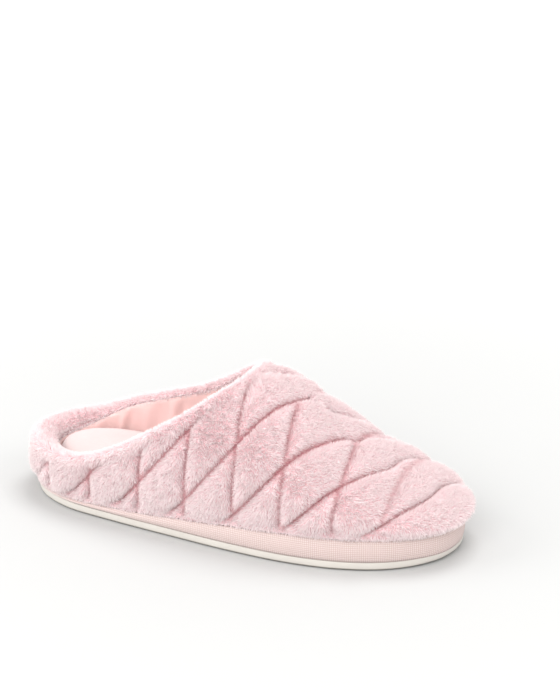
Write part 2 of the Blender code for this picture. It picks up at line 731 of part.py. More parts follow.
def make_tread(edge):
    """Straight grooves across the flat parts of the underside, as one cutter."""
    grooves = []
    x = TREAD_PITCH * 2
    while x < TOE_SPRING_FROM * SOLE_LENGTH - TREAD_PITCH:
        near = edge[np.abs(edge[:, 0] - x) < TREAD_REACH]
        grooves.append((x, near[:, 1].min() + TREAD_INSET, near[:, 1].max() - TREAD_INSET))
        x += TREAD_PITCH
    points = []
    faces = []
    for x, low, high in grooves:
        first = len(points)
        for z in (-TREAD_DEPTH, TREAD_DEPTH):
            half = TREAD_WIDTH / 2
            points += [(x - half, low, z), (x + half, low, z), (x + half, high, z), (x - half, high, z)]
        a, b, c, d, e, f, g, h = range(first, first + 8)
        faces += [(a, d, c, b), (e, f, g, h), (a, b, f, e), (b, c, g, f), (c, d, h, g), (d, a, e, h)]
    cutter = mesh_object("tread_cutter", points, faces, linear("808080"), 0.5)
    cutter.hide_render = True
    cutter.display_type = "WIRE"
    return cutter


def make_midsole(edge, side):
    foot = table(edge[:, 0] / SOLE_LENGTH, FEATHER) - GAP
    wall = table(edge[:, 0] / SOLE_LENGTH, WALL_THICK)
    shell = Shell()
    low = shell.ring(inset_ring(edge, side, OUTSOLE_RIM + GAP, OUTSOLE_BASE + GAP))
    shell.ring(inset_ring(edge, side, OUTSOLE_RIM + GAP, foot))
    shell.ring(inset_ring(edge, side, wall + 2 * GAP, foot))
    high = shell.ring(inset_ring(edge, side, wall + 3 * GAP, PLATFORM))
    shell.cap(low)
    shell.faces.append(tuple(high))
    mesh_object("midsole", shell.points, shell.faces, linear("E9DDD6"), 0.8)


def make_band(edge, side):
    foot = table(edge[:, 0] / SOLE_LENGTH, FEATHER) - GAP
    start = OUTSOLE_EDGE + GAP
    shell = Shell()
    first = shell.ring(inset_ring(edge, side, BAND, start))
    shell.ring(inset_ring(edge, side, 0.0, start))
    for share in BAND_RINGS:
        swell = BAND_SWELL * math.sin(math.pi * share)
        shell.ring(inset_ring(edge, side, -swell, start + (foot - start) * share))
    shell.ring(inset_ring(edge, side, 0.0, foot))
    last = shell.ring(inset_ring(edge, side, BAND, foot))
    shell.faces += strip(last, first)
    mesh_object("cloth_band", shell.points, shell.faces, linear("E7D2CE"), 0.9)


def make_insole(edge, side):
    station = edge[:, 0] / SOLE_LENGTH
    top = table(station, INSOLE_EDGE)
    low = PLATFORM + GAP
    fit = table(station, WALL_THICK) + 4 * GAP
    shell = Shell()
    first = shell.ring(inset_ring(edge, side, fit + INSOLE_BEVEL, low + 0 * top))
    shell.ring(inset_ring(edge, side, fit, low + INSOLE_FOOT + 0 * top))
    for inset, drop in INSOLE_SHOULDER:
        rim = inset_ring(edge, side, fit + inset, top - drop)
        shell.ring(rim)
    rim = rim[:, :2]
    ridge = np.c_[ridge_under(station) * SOLE_LENGTH, BALL_WIDTH * table(ridge_under(station), RIDGE_SIDE)]
    for share in INSOLE_RINGS:
        plan = ridge + (rim - ridge) * share
        height = table(plan[:, 0] / SOLE_LENGTH, INSOLE_EDGE) + INSOLE_DOME * (1 - share**2)
        last = shell.ring(np.c_[plan, height])
    shell.faces.append(tuple(first))
    shell.faces.append(tuple(last))
    mesh_object("insole", shell.points, shell.faces, linear("FBEEEB"), 0.9)


skin = Skin()
make_upper(skin)
edge, side = sole_edge(SOLE_COUNT)
make_outsole(edge, side)
make_midsole(edge, side)
make_band(edge, side)
make_insole(edge, side)
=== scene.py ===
import math

import bmesh
import bpy
import numpy as np
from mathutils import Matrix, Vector
from mathutils.geometry import delaunay_2d_cdt
from mathutils.kdtree import KDTree


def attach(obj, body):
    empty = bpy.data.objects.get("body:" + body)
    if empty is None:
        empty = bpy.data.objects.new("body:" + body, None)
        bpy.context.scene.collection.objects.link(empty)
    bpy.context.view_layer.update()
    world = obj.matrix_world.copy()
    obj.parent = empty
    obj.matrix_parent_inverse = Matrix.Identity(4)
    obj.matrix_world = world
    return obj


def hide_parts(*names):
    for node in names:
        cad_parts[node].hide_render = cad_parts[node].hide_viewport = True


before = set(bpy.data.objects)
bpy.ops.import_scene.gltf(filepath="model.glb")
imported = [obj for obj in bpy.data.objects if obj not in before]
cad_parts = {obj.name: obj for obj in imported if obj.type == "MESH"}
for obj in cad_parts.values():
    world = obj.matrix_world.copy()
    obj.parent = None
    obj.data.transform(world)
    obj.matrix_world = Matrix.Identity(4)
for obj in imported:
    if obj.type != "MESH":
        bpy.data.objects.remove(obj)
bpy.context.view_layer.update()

MM = 0.001  # the frame is in metres

# Last, as in the model
SOLE_LENGTH = 262.0
BALL_WIDTH = 94.0
HEEL_TIP, TOE_TIP = 0.014, 0.996
TOE_TIP_SIDE = 0.055
OUTLINE = (
    # station, outer side, inner side
    (0.028, 0.135, 0.138),
    (0.066, 0.262, 0.268),
    (0.140, 0.375, 0.350),
    (0.270, 0.438, 0.372),
    (0.420, 0.485, 0.392),
    (0.560, 0.522, 0.435),
    (0.690, 0.528, 0.475),
    (0.800, 0.482, 0.485),
    (0.885, 0.388, 0.452),
    (0.950, 0.250, 0.342),
    (0.984, 0.118, 0.205),
)
RIDGE = (
    # station, height
    (0.00, 62.0),
    (0.15, 66.0),
    (0.30, 76.0),
    (0.42, 86.0),
    (0.50, 91.0),
    (0.56, 91.0),
    (0.62, 86.0),
    (0.72, 68.0),
    (0.80, 56.0),
    (0.90, 47.0),
    (1.00, 39.0),
)
RIDGE_SIDE = ((0.0, 0.0), (0.3, 0.0), (0.5, 0.02), (0.62, 0.03), (0.8, 0.035), (1.0, 0.04))
RIDGE_ENDS = (0.145, 0.735)
FANS = (0.20, 0.60)
FAN_EASE = 1.6
FEATHER = (
    # station, height
    (0.00, 6.6),
    (0.10, 6.8),
    (0.20, 7.9),
    (0.33, 10.0),
    (0.45, 12.8),
    (0.55, 15.4),
    (0.67, 17.4),
    (1.00, 17.8),
)
COLLAR = (
    # station, outer side, inner side
    (0.00, 33.0, 33.0),
    (0.10, 31.8, 37.0),
    (0.20, 35.6, 47.5),
    (0.28, 45.0, 55.0),
    (0.36, 58.0, 62.0),
    (0.43, 70.0, 71.5),
    (0.49, 82.0, 82.0),
    (0.55, 93.0, 93.0),
)
WIDTH_POWER = 2.5
HEIGHT_POWER = 2.3
WALL_SWELL = (
    # station, outer side, inner side
    (0.00, 8.0, 8.0),
    (0.10, 6.0, 6.0),
    (0.30, 4.5, 4.5),
    (0.80, 4.5, 5.0),
    (0.92, 5.0, 8.0),
    (1.00, 7.5, 7.5),
)
SWELL_LOW = 0.6
SWELL_CLOSE = 0.5  # how fast the lean dies away towards the ridge
CURVE_SAMPLES = 40

# Quilting
LEANING_SEAMS = (
    # forward at the outer feather line, share of the full depth
    (-142.0, 0.8),
    (-106.0, 0.9),
    (-71.0, 1.0),
    (-35.0, 1.0),
    (3.0, 0.55),
    (38.0, 0.95),
    (71.0, 1.0),
    (107.0, 1.0),
    (143.0, 1.0),
    (178.0, 1.0),
    (222.0, 1.0),
)
CROSS_SEAMS = (
    # distance from the heel, share of the full depth
    (-8.0, 1.0),
    (22.0, 1.25),
    (54.0, 1.25),
    (87.0, 1.1),
    (117.0, 1.0),
    (147.5, 0.9),
    (176.5, 0.85),
    (206.5, 0.8),
    (231.5, 0.45),
)
# How far back a cross seam has swept, by the distance up from its own side's feather line
CROSS_SWEEP = ((0.0, 0.0), (45.0, 0.5), (75.0, 3.5), (105.0, 7.0), (140.0, 9.0))
CROSS_FADE = (3.0, 20.0)  # distances from the ridge over which the cross seams come in
LEAN = ((-10.0, -8.0), (0.0, 0.0), (50.0, 40.0), (95.0, 68.0), (140.0, 96.0), (200.0, 142.0))
LEAN_COSINE = 0.78  # from a distance straight forward to one square to a leaning seam
LEANING_DEPTH = 3.4
CREASE_WIDTH = 3.0
PUFF, PUFF_WIDTH = 1.2, 8.0  # how far the padding swells between the seams, and over what width
QUILT_START, QUILT_FULL = 2.0, 7.0  # distances from the collar over which the quilting comes in
LOW_EDGE = 5.0  # distance from the feather line over which it comes in
HEEL_WRAP = 40.0  # nearer the heel than this, distances forward are walked round the sole's edge

# Wall, collar and lining
WALL_THICK = (
    # station, outer face to lining, outer face to turned plush, lean of the lining with the wall
    (0.00, 12.0, 12.0, 0.0),
    (0.10, 9.0, 9.4, 1.4),
    (0.20, 7.5, 8.0, 3.4),
    (0.30, 7.2, 7.8, 4.5),
    (0.50, 7.5, 8.0, 4.5),
    (1.00, 7.5, 8.0, 4.5),
)
LEVEL_FOOT = 0.3  # share of the height over which the wall's thickness turns from level to square
FACING_DROP = 1.0
HEEL_DROP = 5.0  # further reach behind the heel
HEEL_DROP_ENDS = (0.03, 0.17)  # stations between which it comes to an end
FACING_RINGS = 3
FACING_TUCK = 1.0  # how far the facing's end is turned under the lining
ROLL_SIDE = 2.0  # distance from the collar at which the way over the roll is read
LINING_THICK = 0.8
GAP = 0.3
UNDER_LINING = LINING_THICK + GAP
LINING_ROW = 3.0  # row of the grid where the lining starts, under the footbed
LINING_TUCK = 0.6  # how far the lining reaches up behind the facing
LINING_SLACK = (1.0, 7.0)  # distances from the facing over which the lining's folds come in
SEAM_LINE, SEAM_SUNK = 1.6, 0.6  # width and depth of the sunk line where the facing meets the lining
LINING_FOLDS = (
    # station, side (-1 outer, 1 inner), depth, width along the collar, all as it hangs
    (0.095, 1, 0.8, 2.2),
    (0.150, 1, 1.1, 1.8),
    (0.205, 1, 0.6, 3.2),
    (0.265, 1, 1.1, 2.2),
    (0.340, 1, 0.8, 2.8),
    (0.430, 1, 0.7, 3.0),
    (0.070, -1, 0.9, 2.0),
    (0.160, -1, 1.2, 1.8),
    (0.260, -1, 0.9, 2.4),
    (0.380, -1, 0.8, 2.2),
)
FOLD_LEAN = 0.25  # how far forward a fold runs for each millimetre up
TROUGH_DEPTH, TROUGH_AWAY = 0.6, 2.2  # the trough in front of a fold, as shares of its depth and width

# Pile. Single hairs are too fine to show in the render, so each tuft stands for many
PILE_HEIGHT = 2.0  # how far the tips stand over the backing cloth
TUFT_LENGTH = 3.0
TUFT_WIDTH = 0.55
TUFT_SIDES = 3  # seen too small to need more
TUFTS_PER_MM2 = 3.4
TUFT_STRAY = 0.35  # how far each tuft leans its own way
TUFT_UNEVEN = (0.75, 1.1)  # shortest and longest, as shares of the length
CLUMP_SPOT, CLUMP_LEAN = 1.7, 1.7  # size of the locks, and how far their tufts lean together
CLUMP_STREAK = 0.4  # under 1 the locks are drawn out along the shoe
PILE_SEED = 7
NAP_LEAN = 0.5
NAP_TURN_HEIGHT = (0.25, 0.7)  # shares of the height between which the nap turns from down to forward
NAP_TURN_PLACE = (60.0, 140.0)  # and the distances from the heel between which it does
EDGE_PILE = 4.0  # distance from the feather line over which the pile comes to its full height
EDGE_LOFT, EDGE_LENGTH = 0.35, 0.7  # shares of the loft and of the length at the feather line
FACING_LENGTH = 0.8  # share of the length on the roll and the facing
STREAK = 0.35  # under 1 the drift of colour is drawn out along the shoe
DRIFT_SPOT = 2.2  # size of a spot of even colour
PRESSED = 0.45  # share of its length that the pile keeps in the bottom of a crease
PRESSED_WIDTH = 2.2
THREAD_DEPTH, THREAD_WIDTH = 0.9, 1.5  # the narrow line that the quilting thread pulls down
# Painted shade along the seams: the pile's colour is darkened in the quilting lines where shade falls, and
# partly for the pressed fibres
LINE_WIDTH = 0.8  # half width of the dark line along the thread
LINE_SHARE = 0.75  # how much of the shade is in that line, with the rest in a faint band beside it
RIDGE_SHADE = 0.45  # share of the dark line left near the ridge, where the pile falls over it
RIDGE_SHADE_ENDS = (8.0, 45.0)  # distances from the ridge between which it comes back
HEEL_SHADE = 0.6  # and at the heel, where the padding is fuller
HEEL_SHADE_ENDS = (25.0, 95.0)  # distances from the heel between which it comes back
CROSS_SHARE = 0.735  # how strong the seams straight across are beside the leaning ones
PILE_ZONES = (
    # stretches of pile, each its own piece: name, from and to in millimetres from the heel, side
    ("pile_heel", -20.0, 70.0, "both"),
    ("pile_outer_quarter", 70.0, 150.0, "outer"),
    ("pile_inner_quarter", 70.0, 150.0, "inner"),
    ("pile_outer_vamp", 150.0, 300.0, "outer"),
    ("pile_inner_vamp", 150.0, 300.0, "inner"),
    ("pile_collar", 0.0, 0.0, "both"),
)
SEAM_MEASURES = ("lean", "cross", "from_ridge")

# Sole
OUTSOLE_EDGE = 5.0
OUTSOLE_CORNER = 35.0  # degrees over which an edge of the rubber stays sharp
BAND = 1.3
BAND_SWELL = 0.9
WEAVE_PITCH = 1.15  # two pixels of the render, since closer threads wouldn't show
PLATFORM = 18.0
INSOLE_EDGE = ((0.0, 28.4), (0.30, 27.9), (0.45, 26.4), (0.60, 24.8), (0.85, 23.0), (1.0, 22.5))
INSOLE_DOME = 3.0
INSOLE_FOOT = ((1.0, 0.0), (0.0, 1.2))  # further in, height over the platform
INSOLE_SHOULDER = ((0.0, 3.4), (0.4, 2.1), (1.2, 1.2))  # further in, depth under the top edge
INSOLE_RIM = 3.6  # how far in the dome starts
INSOLE_RINGS = (1.0, 0.93, 0.84, 0.73, 0.6, 0.46, 0.3)  # shares of the way from the ridge out to the rim
PAD_VOXEL, PAD_MOVE = 4.0, 1.0  # size of the evened faces, and how far a point may move
PAD_PRESSURE, PAD_FRAMES = 4.0, 20  # how hard and how long the pad is blown up
POLYMER_IOR = 1.5
CONTACT_SHADOW_TOP, CONTACT_SHADOW_FULL = 1.6, 0.5  # heights over the floor between which the sole's edge is darkened by painted contact shadow

# How finely the shapes are followed
COLUMNS, ROWS = 720, 61
PLACE_TURNS, PLACE_NUDGE = 5, 0.25
CLOTH_STEP, HIDDEN_STEP, LINING_STEP = 1.2, 6.0, 2.4
CLOTH_CLEAR, HIDDEN_CLEAR, LINING_CLEAR = 0.72, 3.0, 1.4  # no corner lies closer to an edge than this
FEATHER_COUNT, COLLAR_COUNT = 420, 340
ROLL_STEPS = 8
BAND_COLUMNS, BAND_RINGS = 560, 9
PAD_COLUMNS = 240

# View: the photograph's angle, with the shoe left of and below the middle of the frame
AZIMUTH, ELEVATION = 25.0, 24.0
DISTANCE = 1.30
LENS, SENSOR = 118.3, 36.0
LOOKED_AT = (0.0, 0.0, 0.030)
AIM_RIGHT, AIM_UP = 0.0226, 0.0644

# Studio, in metres and watts
SKY = 0.92
LIGHTS = (
    # name, place, size, watts
    ("softbox_high", (0.05, 0.65, 2.0), 1.3, 23.0),
    ("softbox_front", (0.1, -1.7, 1.2), 1.5, 22.0),
    ("softbox_toe", (1.6, -0.2, 1.3), 1.3, 8.0),
    ("softbox_heel", (-1.5, -0.8, 0.9), 1.3, 13.0),
)
FLOOR_REACH = 6.0
FLOOR_PAINTED_LIGHT = (0.1, 1.6)  # distances from the shoe between which painted light turns the floor from grey to white


def table(stations, rows, column=1):
    """A smooth curve through one column of a table."""
    xs = np.array([row[0] for row in rows], float)
    ys = np.array([row[column] for row in rows], float)
    slopes = np.gradient(ys, xs)
    x = np.clip(stations, xs[0], xs[-1])
    i = np.clip(np.searchsorted(xs, x) - 1, 0, len(xs) - 2)
    span = xs[i + 1] - xs[i]
    t = (x - xs[i]) / span
    start = (2 * t**3 - 3 * t**2 + 1) * ys[i] + (t**3 - 2 * t**2 + t) * span * slopes[i]
    end = (3 * t**2 - 2 * t**3) * ys[i + 1] + (t**3 - t**2) * span * slopes[i + 1]
    return start + end


def ease(value, low, high):
    """0 under the low value, 1 over the high one, and a smooth rise between them."""
    t = np.clip((value - low) / (high - low), 0, 1)
    return t * t * (3 - 2 * t)


def spaced(curve, count):
    """Points at even distances along a closed curve."""
    ring = np.vstack([curve, curve[:1]])
    along = np.r_[0, np.cumsum(np.linalg.norm(np.diff(ring, axis=0), axis=1))]
    at = np.linspace(0, along[-1], count, endpoint=False)
    return np.stack([np.interp(at, along, ring[:, k]) for k in range(ring.shape[1])], axis=1)


def unit(vectors):
    """The same directions, each one long."""
    return vectors / np.maximum(np.linalg.norm(vectors, axis=-1), 1e-9)[..., None]


def ring_sides(ring):
    """Directions in the plane that point out of a closed line."""
    ahead = unit(np.roll(ring, -1, axis=0) - np.roll(ring, 1, axis=0))
    side = np.c_[ahead[:, 1], -ahead[:, 0]]
    return side if ((ring - ring.mean(axis=0)) * side).sum() > 0 else -side


def sole_edge(count):
    """The sole's outline from the heel round by the outer side, with its outward directions."""
    corners = [(HEEL_TIP * SOLE_LENGTH, 0.0)]
    corners += [(s * SOLE_LENGTH, -a * BALL_WIDTH) for s, a, b in OUTLINE]
    corners += [(TOE_TIP * SOLE_LENGTH, TOE_TIP_SIDE * BALL_WIDTH)]
    corners += [(s * SOLE_LENGTH, b * BALL_WIDTH) for s, a, b in reversed(OUTLINE)]
    p = np.array(corners)
    knots = np.linalg.norm(np.roll(p, -1, axis=0) - p, axis=1) ** 0.5
    curve = []
    for i in range(len(p)):
        a, b, c, d = p[i - 1], p[i], p[(i + 1) % len(p)], p[(i + 2) % len(p)]
        t1 = knots[i - 1]
        t2 = t1 + knots[i]
        t3 = t2 + knots[(i + 1) % len(p)]
        t = np.linspace(t1, t2, CURVE_SAMPLES, endpoint=False)[:, None]
        ab = a + (b - a) * t / t1
        bc = b + (c - b) * (t - t1) / (t2 - t1)
        cd = c + (d - c) * (t - t2) / (t3 - t2)
        abc = ab + (bc - ab) * t / t2
        bcd = bc + (cd - bc) * (t - t1) / (t3 - t1)
        curve.append(abc + (bcd - abc) * (t - t1) / (t2 - t1))
    edge = spaced(np.concatenate(curve), count)
    return edge, ring_sides(edge)


def ridge_under(x):
    """Where the section through station x of the edge meets the ridge, as a station."""
    back, front = FANS
    reach = 1 - (1 - np.clip((x - front) / (1 - front), 0, 1)) ** FAN_EASE
    station = np.where(x > front, front + (RIDGE_ENDS[1] - front) * reach, x)
    reach = 1 - (1 - np.clip((back - x) / back, 0, 1)) ** FAN_EASE
    return np.where(x < back, back - (back - RIDGE_ENDS[0]) * reach, station)


class Skin:
    """The upper's outer face as a grid: columns round the sole's edge, rows up to the ridge."""

    def __init__(self):
        edge, side = sole_edge(COLUMNS)
        self.edge = edge
        self.station = station = edge[:, 0] / SOLE_LENGTH
        on_ridge = ridge_under(station)
        centre = np.c_[on_ridge * SOLE_LENGTH, BALL_WIDTH * table(on_ridge, RIDGE_SIDE)]
        angle = np.linspace(0, math.pi / 2, ROWS)
        across = np.clip(np.cos(angle), 0, 1) ** (2 / WIDTH_POWER)
        height = np.sin(angle) ** (2 / HEIGHT_POWER)
        self.toe = int(np.argmax(edge[:, 0]))
        self.outer = np.arange(COLUMNS) <= self.toe
        lean_out = np.where(self.outer, table(station, WALL_SWELL, 1), table(station, WALL_SWELL, 2))
        lean_shape = np.sin(math.pi * height**SWELL_LOW) * across**SWELL_CLOSE
        swell = lean_out[:, None] * lean_shape
        padding = (lean_out - table(station, WALL_THICK, 3))[:, None] * lean_shape
        self.padding = np.dstack([side[:, None] * padding[..., None], 0 * padding])
        spoke = edge - centre
        plan = centre[:, None] + spoke[:, None] * across[:, None] + side[:, None] * swell[..., None]
        low = table(station, FEATHER)[:, None]
        top = table(plan[..., 0] / SOLE_LENGTH, RIDGE)
        self.points = np.dstack([plan, low + (top - low) * height])
        steps = np.linalg.norm(np.diff(self.points, axis=1), axis=2)
        self.up = np.concatenate([np.zeros((COLUMNS, 1)), np.cumsum(steps, axis=1)], axis=1)
        self.chart = centre[:, None] + unit(spoke)[:, None] * (self.up[:, -1:] - self.up)[..., None]
        self.height = np.broadcast_to(height, self.points.shape[:2]).copy()
        round_way = np.roll(self.points, -1, axis=0) - np.roll(self.points, 1, axis=0)
        self.up_way = unit(np.gradient(self.points, axis=1))
        normal = unit(np.cross(self.up_way, round_way))
        normal[:, -1] = normal[:, -2]
        outwards = ((self.points - self.points.mean(axis=(0, 1))) * normal).sum() > 0
        self.normal = normal if outwards else -normal
        self.measure_cloth()

    def measure_cloth(self):
        """Distances over the cloth: forward from the heel, and up and over from the outer feather line."""
        up = self.up
        step = np.linalg.norm(np.roll(self.edge, -1, axis=0) - self.edge, axis=1)
        walked = np.r_[0, np.cumsum(step)[:-1]]
        walked = np.minimum(walked, step.sum() - walked)
        wrap_at = np.interp(HEEL_WRAP, self.edge[: self.toe, 0], walked[: self.toe])
        wrapped = np.where(walked < wrap_at, HEEL_WRAP - (wrap_at - walked), self.edge[:, 0])
        self.forward = self.points[..., 0] + (wrapped - self.edge[:, 0])[:, None]
        toe_x = self.points[self.toe, ::-1, 0]
        toe_up = up[self.toe, ::-1]
        back = np.arange(0, self.toe)
        back = back[self.station[back] < RIDGE_ENDS[1]]
        x = self.points[..., 0]
        whole = np.interp(x, self.edge[back, 0], up[back, -1])
        middle = np.where(x > toe_x[0], np.interp(x, toe_x, toe_up), whole)
        self.over = np.where(self.outer[:, None], up, np.maximum(2 * middle - up, middle))
        self.lean = self.forward - table(self.over, LEAN)
        self.cross = self.forward + table(up, CROSS_SWEEP)
        self.from_ridge = up[:, -1:] - up

    def at(self, field, place):
        """A field of the grid at fractional (column, row) places."""
        column = np.floor(place[:, 0]).astype(int)
        row = np.clip(np.floor(place[:, 1]).astype(int), 0, ROWS - 2)
        c = place[:, 0] - column
        r = place[:, 1] - row
        if field.ndim == 3:
            c = c[:, None]
            r = r[:, None]
        near = column % COLUMNS
        far = (column + 1) % COLUMNS
        first = field[near, row] * (1 - r) + field[near, row + 1] * r
        second = field[far, row] * (1 - r) + field[far, row + 1] * r
        return first * (1 - c) + second * c

    def place(self, spots):
        """The fractional (column, row) places of spots in the chart."""
        tree = KDTree(self.chart[::2, ::2].size // 2)
        coarse = self.chart[::2, ::2]
        for n, spot in enumerate(coarse.reshape(-1, 2)):
            tree.insert((spot[0], spot[1], 0), n)
        tree.balance()
        nearest = [tree.find((spot[0], spot[1], 0))[1] for spot in spots]
        found = np.stack(np.unravel_index(nearest, coarse.shape[:2]), axis=1) * 2.0
        for turn in range(PLACE_TURNS):
            here = self.at(self.chart, found)
            row = np.where(found[:, 1] > ROWS - 2, -PLACE_NUDGE, PLACE_NUDGE)
            by_column = (self.at(self.chart, found + [PLACE_NUDGE, 0]) - here) / PLACE_NUDGE
            by_row = (self.at(self.chart, found + np.c_[0 * row, row]) - here) / row[:, None]
            miss = spots - here
            area = by_column[:, 0] * by_row[:, 1] - by_column[:, 1] * by_row[:, 0]
            sound = np.abs(area) > 1e-3
            area = np.where(sound, area, 1.0)
            columns = (miss[:, 0] * by_row[:, 1] - miss[:, 1] * by_row[:, 0]) / area
            rows = (by_column[:, 0] * miss[:, 1] - by_column[:, 1] * miss[:, 0]) / area
            found[:, 0] += np.clip(np.where(sound, columns, 0), -3, 3)
            found[:, 1] = np.clip(found[:, 1] + np.clip(np.where(sound, rows, 0), -2, 2), 0, ROWS - 1)
        return found


def collar_line(skin):
    """The collar in the chart, where the roll begins."""
    spots = []
    for column in list(range(skin.toe, COLUMNS)) + list(range(0, skin.toe)):
        x = skin.station[column]
        if x > COLLAR[-1][0]:
            continue
        rim = table(np.array([x]), COLLAR, 1 if skin.outer[column] else 2)[0]
        heights = skin.points[column, :, 2]
        if rim < heights[-1]:
            row = np.interp(rim, heights, np.arange(ROWS))
            spots.append(skin.at(skin.chart, np.array([[column, row]]))[0])
    return np.array(spots)


def distance_to(ring, spots):
    """The shortest distance from each spot to the points of a finely cut line."""
    tree = KDTree(len(ring))
    for n, spot in enumerate(ring):
        tree.insert((*spot, 0.0)[:3], n)
    tree.balance()
    return np.array([tree.find((*spot, 0.0)[:3])[2] for spot in spots])


def inside(ring, spots):
    """Which spots lie inside a closed line."""
    x, y = spots[:, 0], spots[:, 1]
    within = np.zeros(len(spots), bool)
    for a, b in zip(ring, np.roll(ring, -1, axis=0)):
        if a[1] != b[1]:
            straddles = (a[1] > y) != (b[1] > y)
            within ^= straddles & (x < a[0] + (y - a[1]) * (b[0] - a[0]) / (b[1] - a[1]))
    return within


def nearest_seam(values, seams):
    """Distance to the nearest seam of a table, and that seam's share of the full depth."""
    seams = np.array(seams)
    apart = np.abs(values[:, None] - seams[:, 0])
    nearest = np.argmin(apart, axis=1)
    return apart.min(axis=1), seams[nearest, 1]


def seam_distances(lean, cross, from_ridge):
    """For the leaning seams and the cross seams: distance over the cloth, share of the depth."""
    leaning, lean_share = nearest_seam(lean, LEANING_SEAMS)
    crossing, cross_share = nearest_seam(cross, CROSS_SEAMS)
    cross_share = cross_share * CROSS_SHARE * ease(from_ridge, *CROSS_FADE)
    return (leaning * LEAN_COSINE, lean_share), (crossing, cross_share)


def hollow(distance, width):
    """A soft trough: 1 along its middle line, and nothing some widths away."""
    return np.exp(-((distance / width) ** 2))


def painted_seam_shade(lean, cross, from_ridge):
    """How much painted shade the pile gets in a seam: a thin dark line along the thread, and a faint band
    beside it.
    """
    shade = np.zeros(len(lean))
    for distance, share in seam_distances(lean, cross, from_ridge):
        line = LINE_SHARE * hollow(distance, LINE_WIDTH)
        line = line + (1 - LINE_SHARE) * hollow(distance, PRESSED_WIDTH)
        shade = np.maximum(shade, share * line)
    shade = np.minimum(shade, 1.0) * (RIDGE_SHADE + (1 - RIDGE_SHADE) * ease(from_ridge, *RIDGE_SHADE_ENDS))
    return shade * (HEEL_SHADE + (1 - HEEL_SHADE) * ease(cross, *HEEL_SHADE_ENDS))


def quilting(skin, place, from_collar):
    """Depth of the face under the plush's loft, then how pressed, how deep in a line and how quilted."""
    whole = ease(from_collar, QUILT_START, QUILT_FULL) * ease(skin.at(skin.up, place), 0.0, LOW_EDGE)
    depth = np.zeros(len(place))
    pressed = np.zeros(len(place))
    thread = np.zeros(len(place))
    nearest = np.full(len(place), np.inf)
    measures = [skin.at(field, place) for field in (skin.lean, skin.cross, skin.from_ridge)]
    for distance, share in seam_distances(*measures):
        depth = np.maximum(depth, share * LEANING_DEPTH * hollow(distance, CREASE_WIDTH))
        pressed = np.maximum(pressed, np.minimum(share, 1) * hollow(distance, PRESSED_WIDTH))
        thread = np.maximum(thread, share * hollow(distance, THREAD_WIDTH))
        nearest = np.minimum(nearest, distance)
    sag = PUFF * hollow(nearest, PUFF_WIDTH)
    return (depth + sag + THREAD_DEPTH * thread) * whole, pressed * whole, thread * whole, whole


def hexagons(low, high, step):
    """Spots on a grid of equal triangles."""
    rise = step * math.sqrt(3) / 2
    across, along = np.meshgrid(np.arange(low[1], high[1], rise), np.arange(low[0], high[0], step))
    line = np.round((across - low[1]) / rise).astype(int)
    return np.c_[(along + (line % 2) * step / 2).ravel(), across.ravel()]


def triangulate(loops, spots):
    """Points and triangles inside the first loop and outside the others."""
    points = []
    edges = []
    for loop in loops:
        first = len(points)
        points += [Vector(p) for p in loop]
        edges += [(first + k, first + (k + 1) % len(loop)) for k in range(len(loop))]
    points += [Vector(p) for p in spots]
    found = delaunay_2d_cdt(points, edges, [], 0, 1e-4)
    made = np.array([tuple(p) for p in found[0]])
    faces = np.array([tuple(face) for face in found[2]])
    middles = made[faces].mean(axis=1)
    keep = inside(np.array(loops[0]), middles)
    for hole in loops[1:]:
        keep &= ~inside(np.array(hole), middles)
    where = {}
    for new, olds in enumerate(found[3]):
        for old in olds:
            where[old] = new
    return made, faces[keep], where


def cut_cloth(outline, opening, step, clear):
    """Cloth between two lines of the chart, in near-equal triangles."""
    spots = hexagons(outline.min(axis=0), outline.max(axis=0), step)
    spots = spots[inside(outline, spots) & ~inside(opening, spots)]
    spots = spots[(distance_to(outline, spots) > clear) & (distance_to(opening, spots) > clear)]
    return triangulate([outline, opening], spots)


def without_spare(points, triangles):
    """Which points the triangles use, and the triangles renumbered for those alone."""
    used = np.unique(np.array(triangles))
    renumber = np.full(len(points), -1)
    renumber[used] = np.arange(len(used))
    return used, renumber[np.array(triangles)]


def strip(first, second):
    """Triangles between two rings of the same length."""
    count = len(first)
    made = []
    for k in range(count):
        n = (k + 1) % count
        made.append((first[k], first[n], second[n]))
        made.append((first[k], second[n], second[k]))
    return made


def wall_at(skin, place, column):
    """The wall's thickness at places of the grid, as one column."""
    station = np.interp(place[:, 0] % COLUMNS, np.arange(COLUMNS), skin.station)
    return table(station, WALL_THICK, column)[:, None]


def facing_drop(skin, collar):
    """How far the turned plush reaches down inside: a little, but behind the heel to the footbed."""
    station = skin.at(skin.points, skin.place(collar))[:, 0] / SOLE_LENGTH
    return (FACING_DROP + HEEL_DROP * (1 - ease(station, *HEEL_DROP_ENDS)))[:, None]


def inner_face(skin, place, wall):
    """Points on a face inside the skin. Near the feather line the wall is measured level."""
    normal = skin.at(skin.normal, place)
    level = ease(skin.at(skin.height, place), 0.0, LEVEL_FOOT)[:, None]
    flat = unit(normal * [1, 1, 0])
    way = unit(flat * (1 - level) + normal * level)
    return skin.at(skin.points, place) - skin.at(skin.padding, place) - way * wall


def placed(name, data):
    """A new object of the scene for a mesh, a light or a camera."""
    made = bpy.data.objects.new(name, data)
    bpy.context.scene.collection.objects.link(made)
    return made


def piece_of(name, points, faces, material):
    """A mesh object in the frame, closed and facing out, from points in millimetres."""
    mesh = bpy.data.meshes.new(name)
    corners = (np.array(points) - [SOLE_LENGTH / 2, 0, 0]) * MM
    mesh.from_pydata(corners.tolist(), [], [tuple(int(k) for k in face) for face in faces])
    work = bmesh.new()
    work.from_mesh(mesh)
    bmesh.ops.recalc_face_normals(work, faces=work.faces)
    if work.calc_volume(signed=True) < 0:
        bmesh.ops.reverse_faces(work, faces=work.faces)
    work.to_mesh(mesh)
    work.free()
    mesh.shade_smooth()
    mesh.materials.append(material)
    return placed(name, mesh)


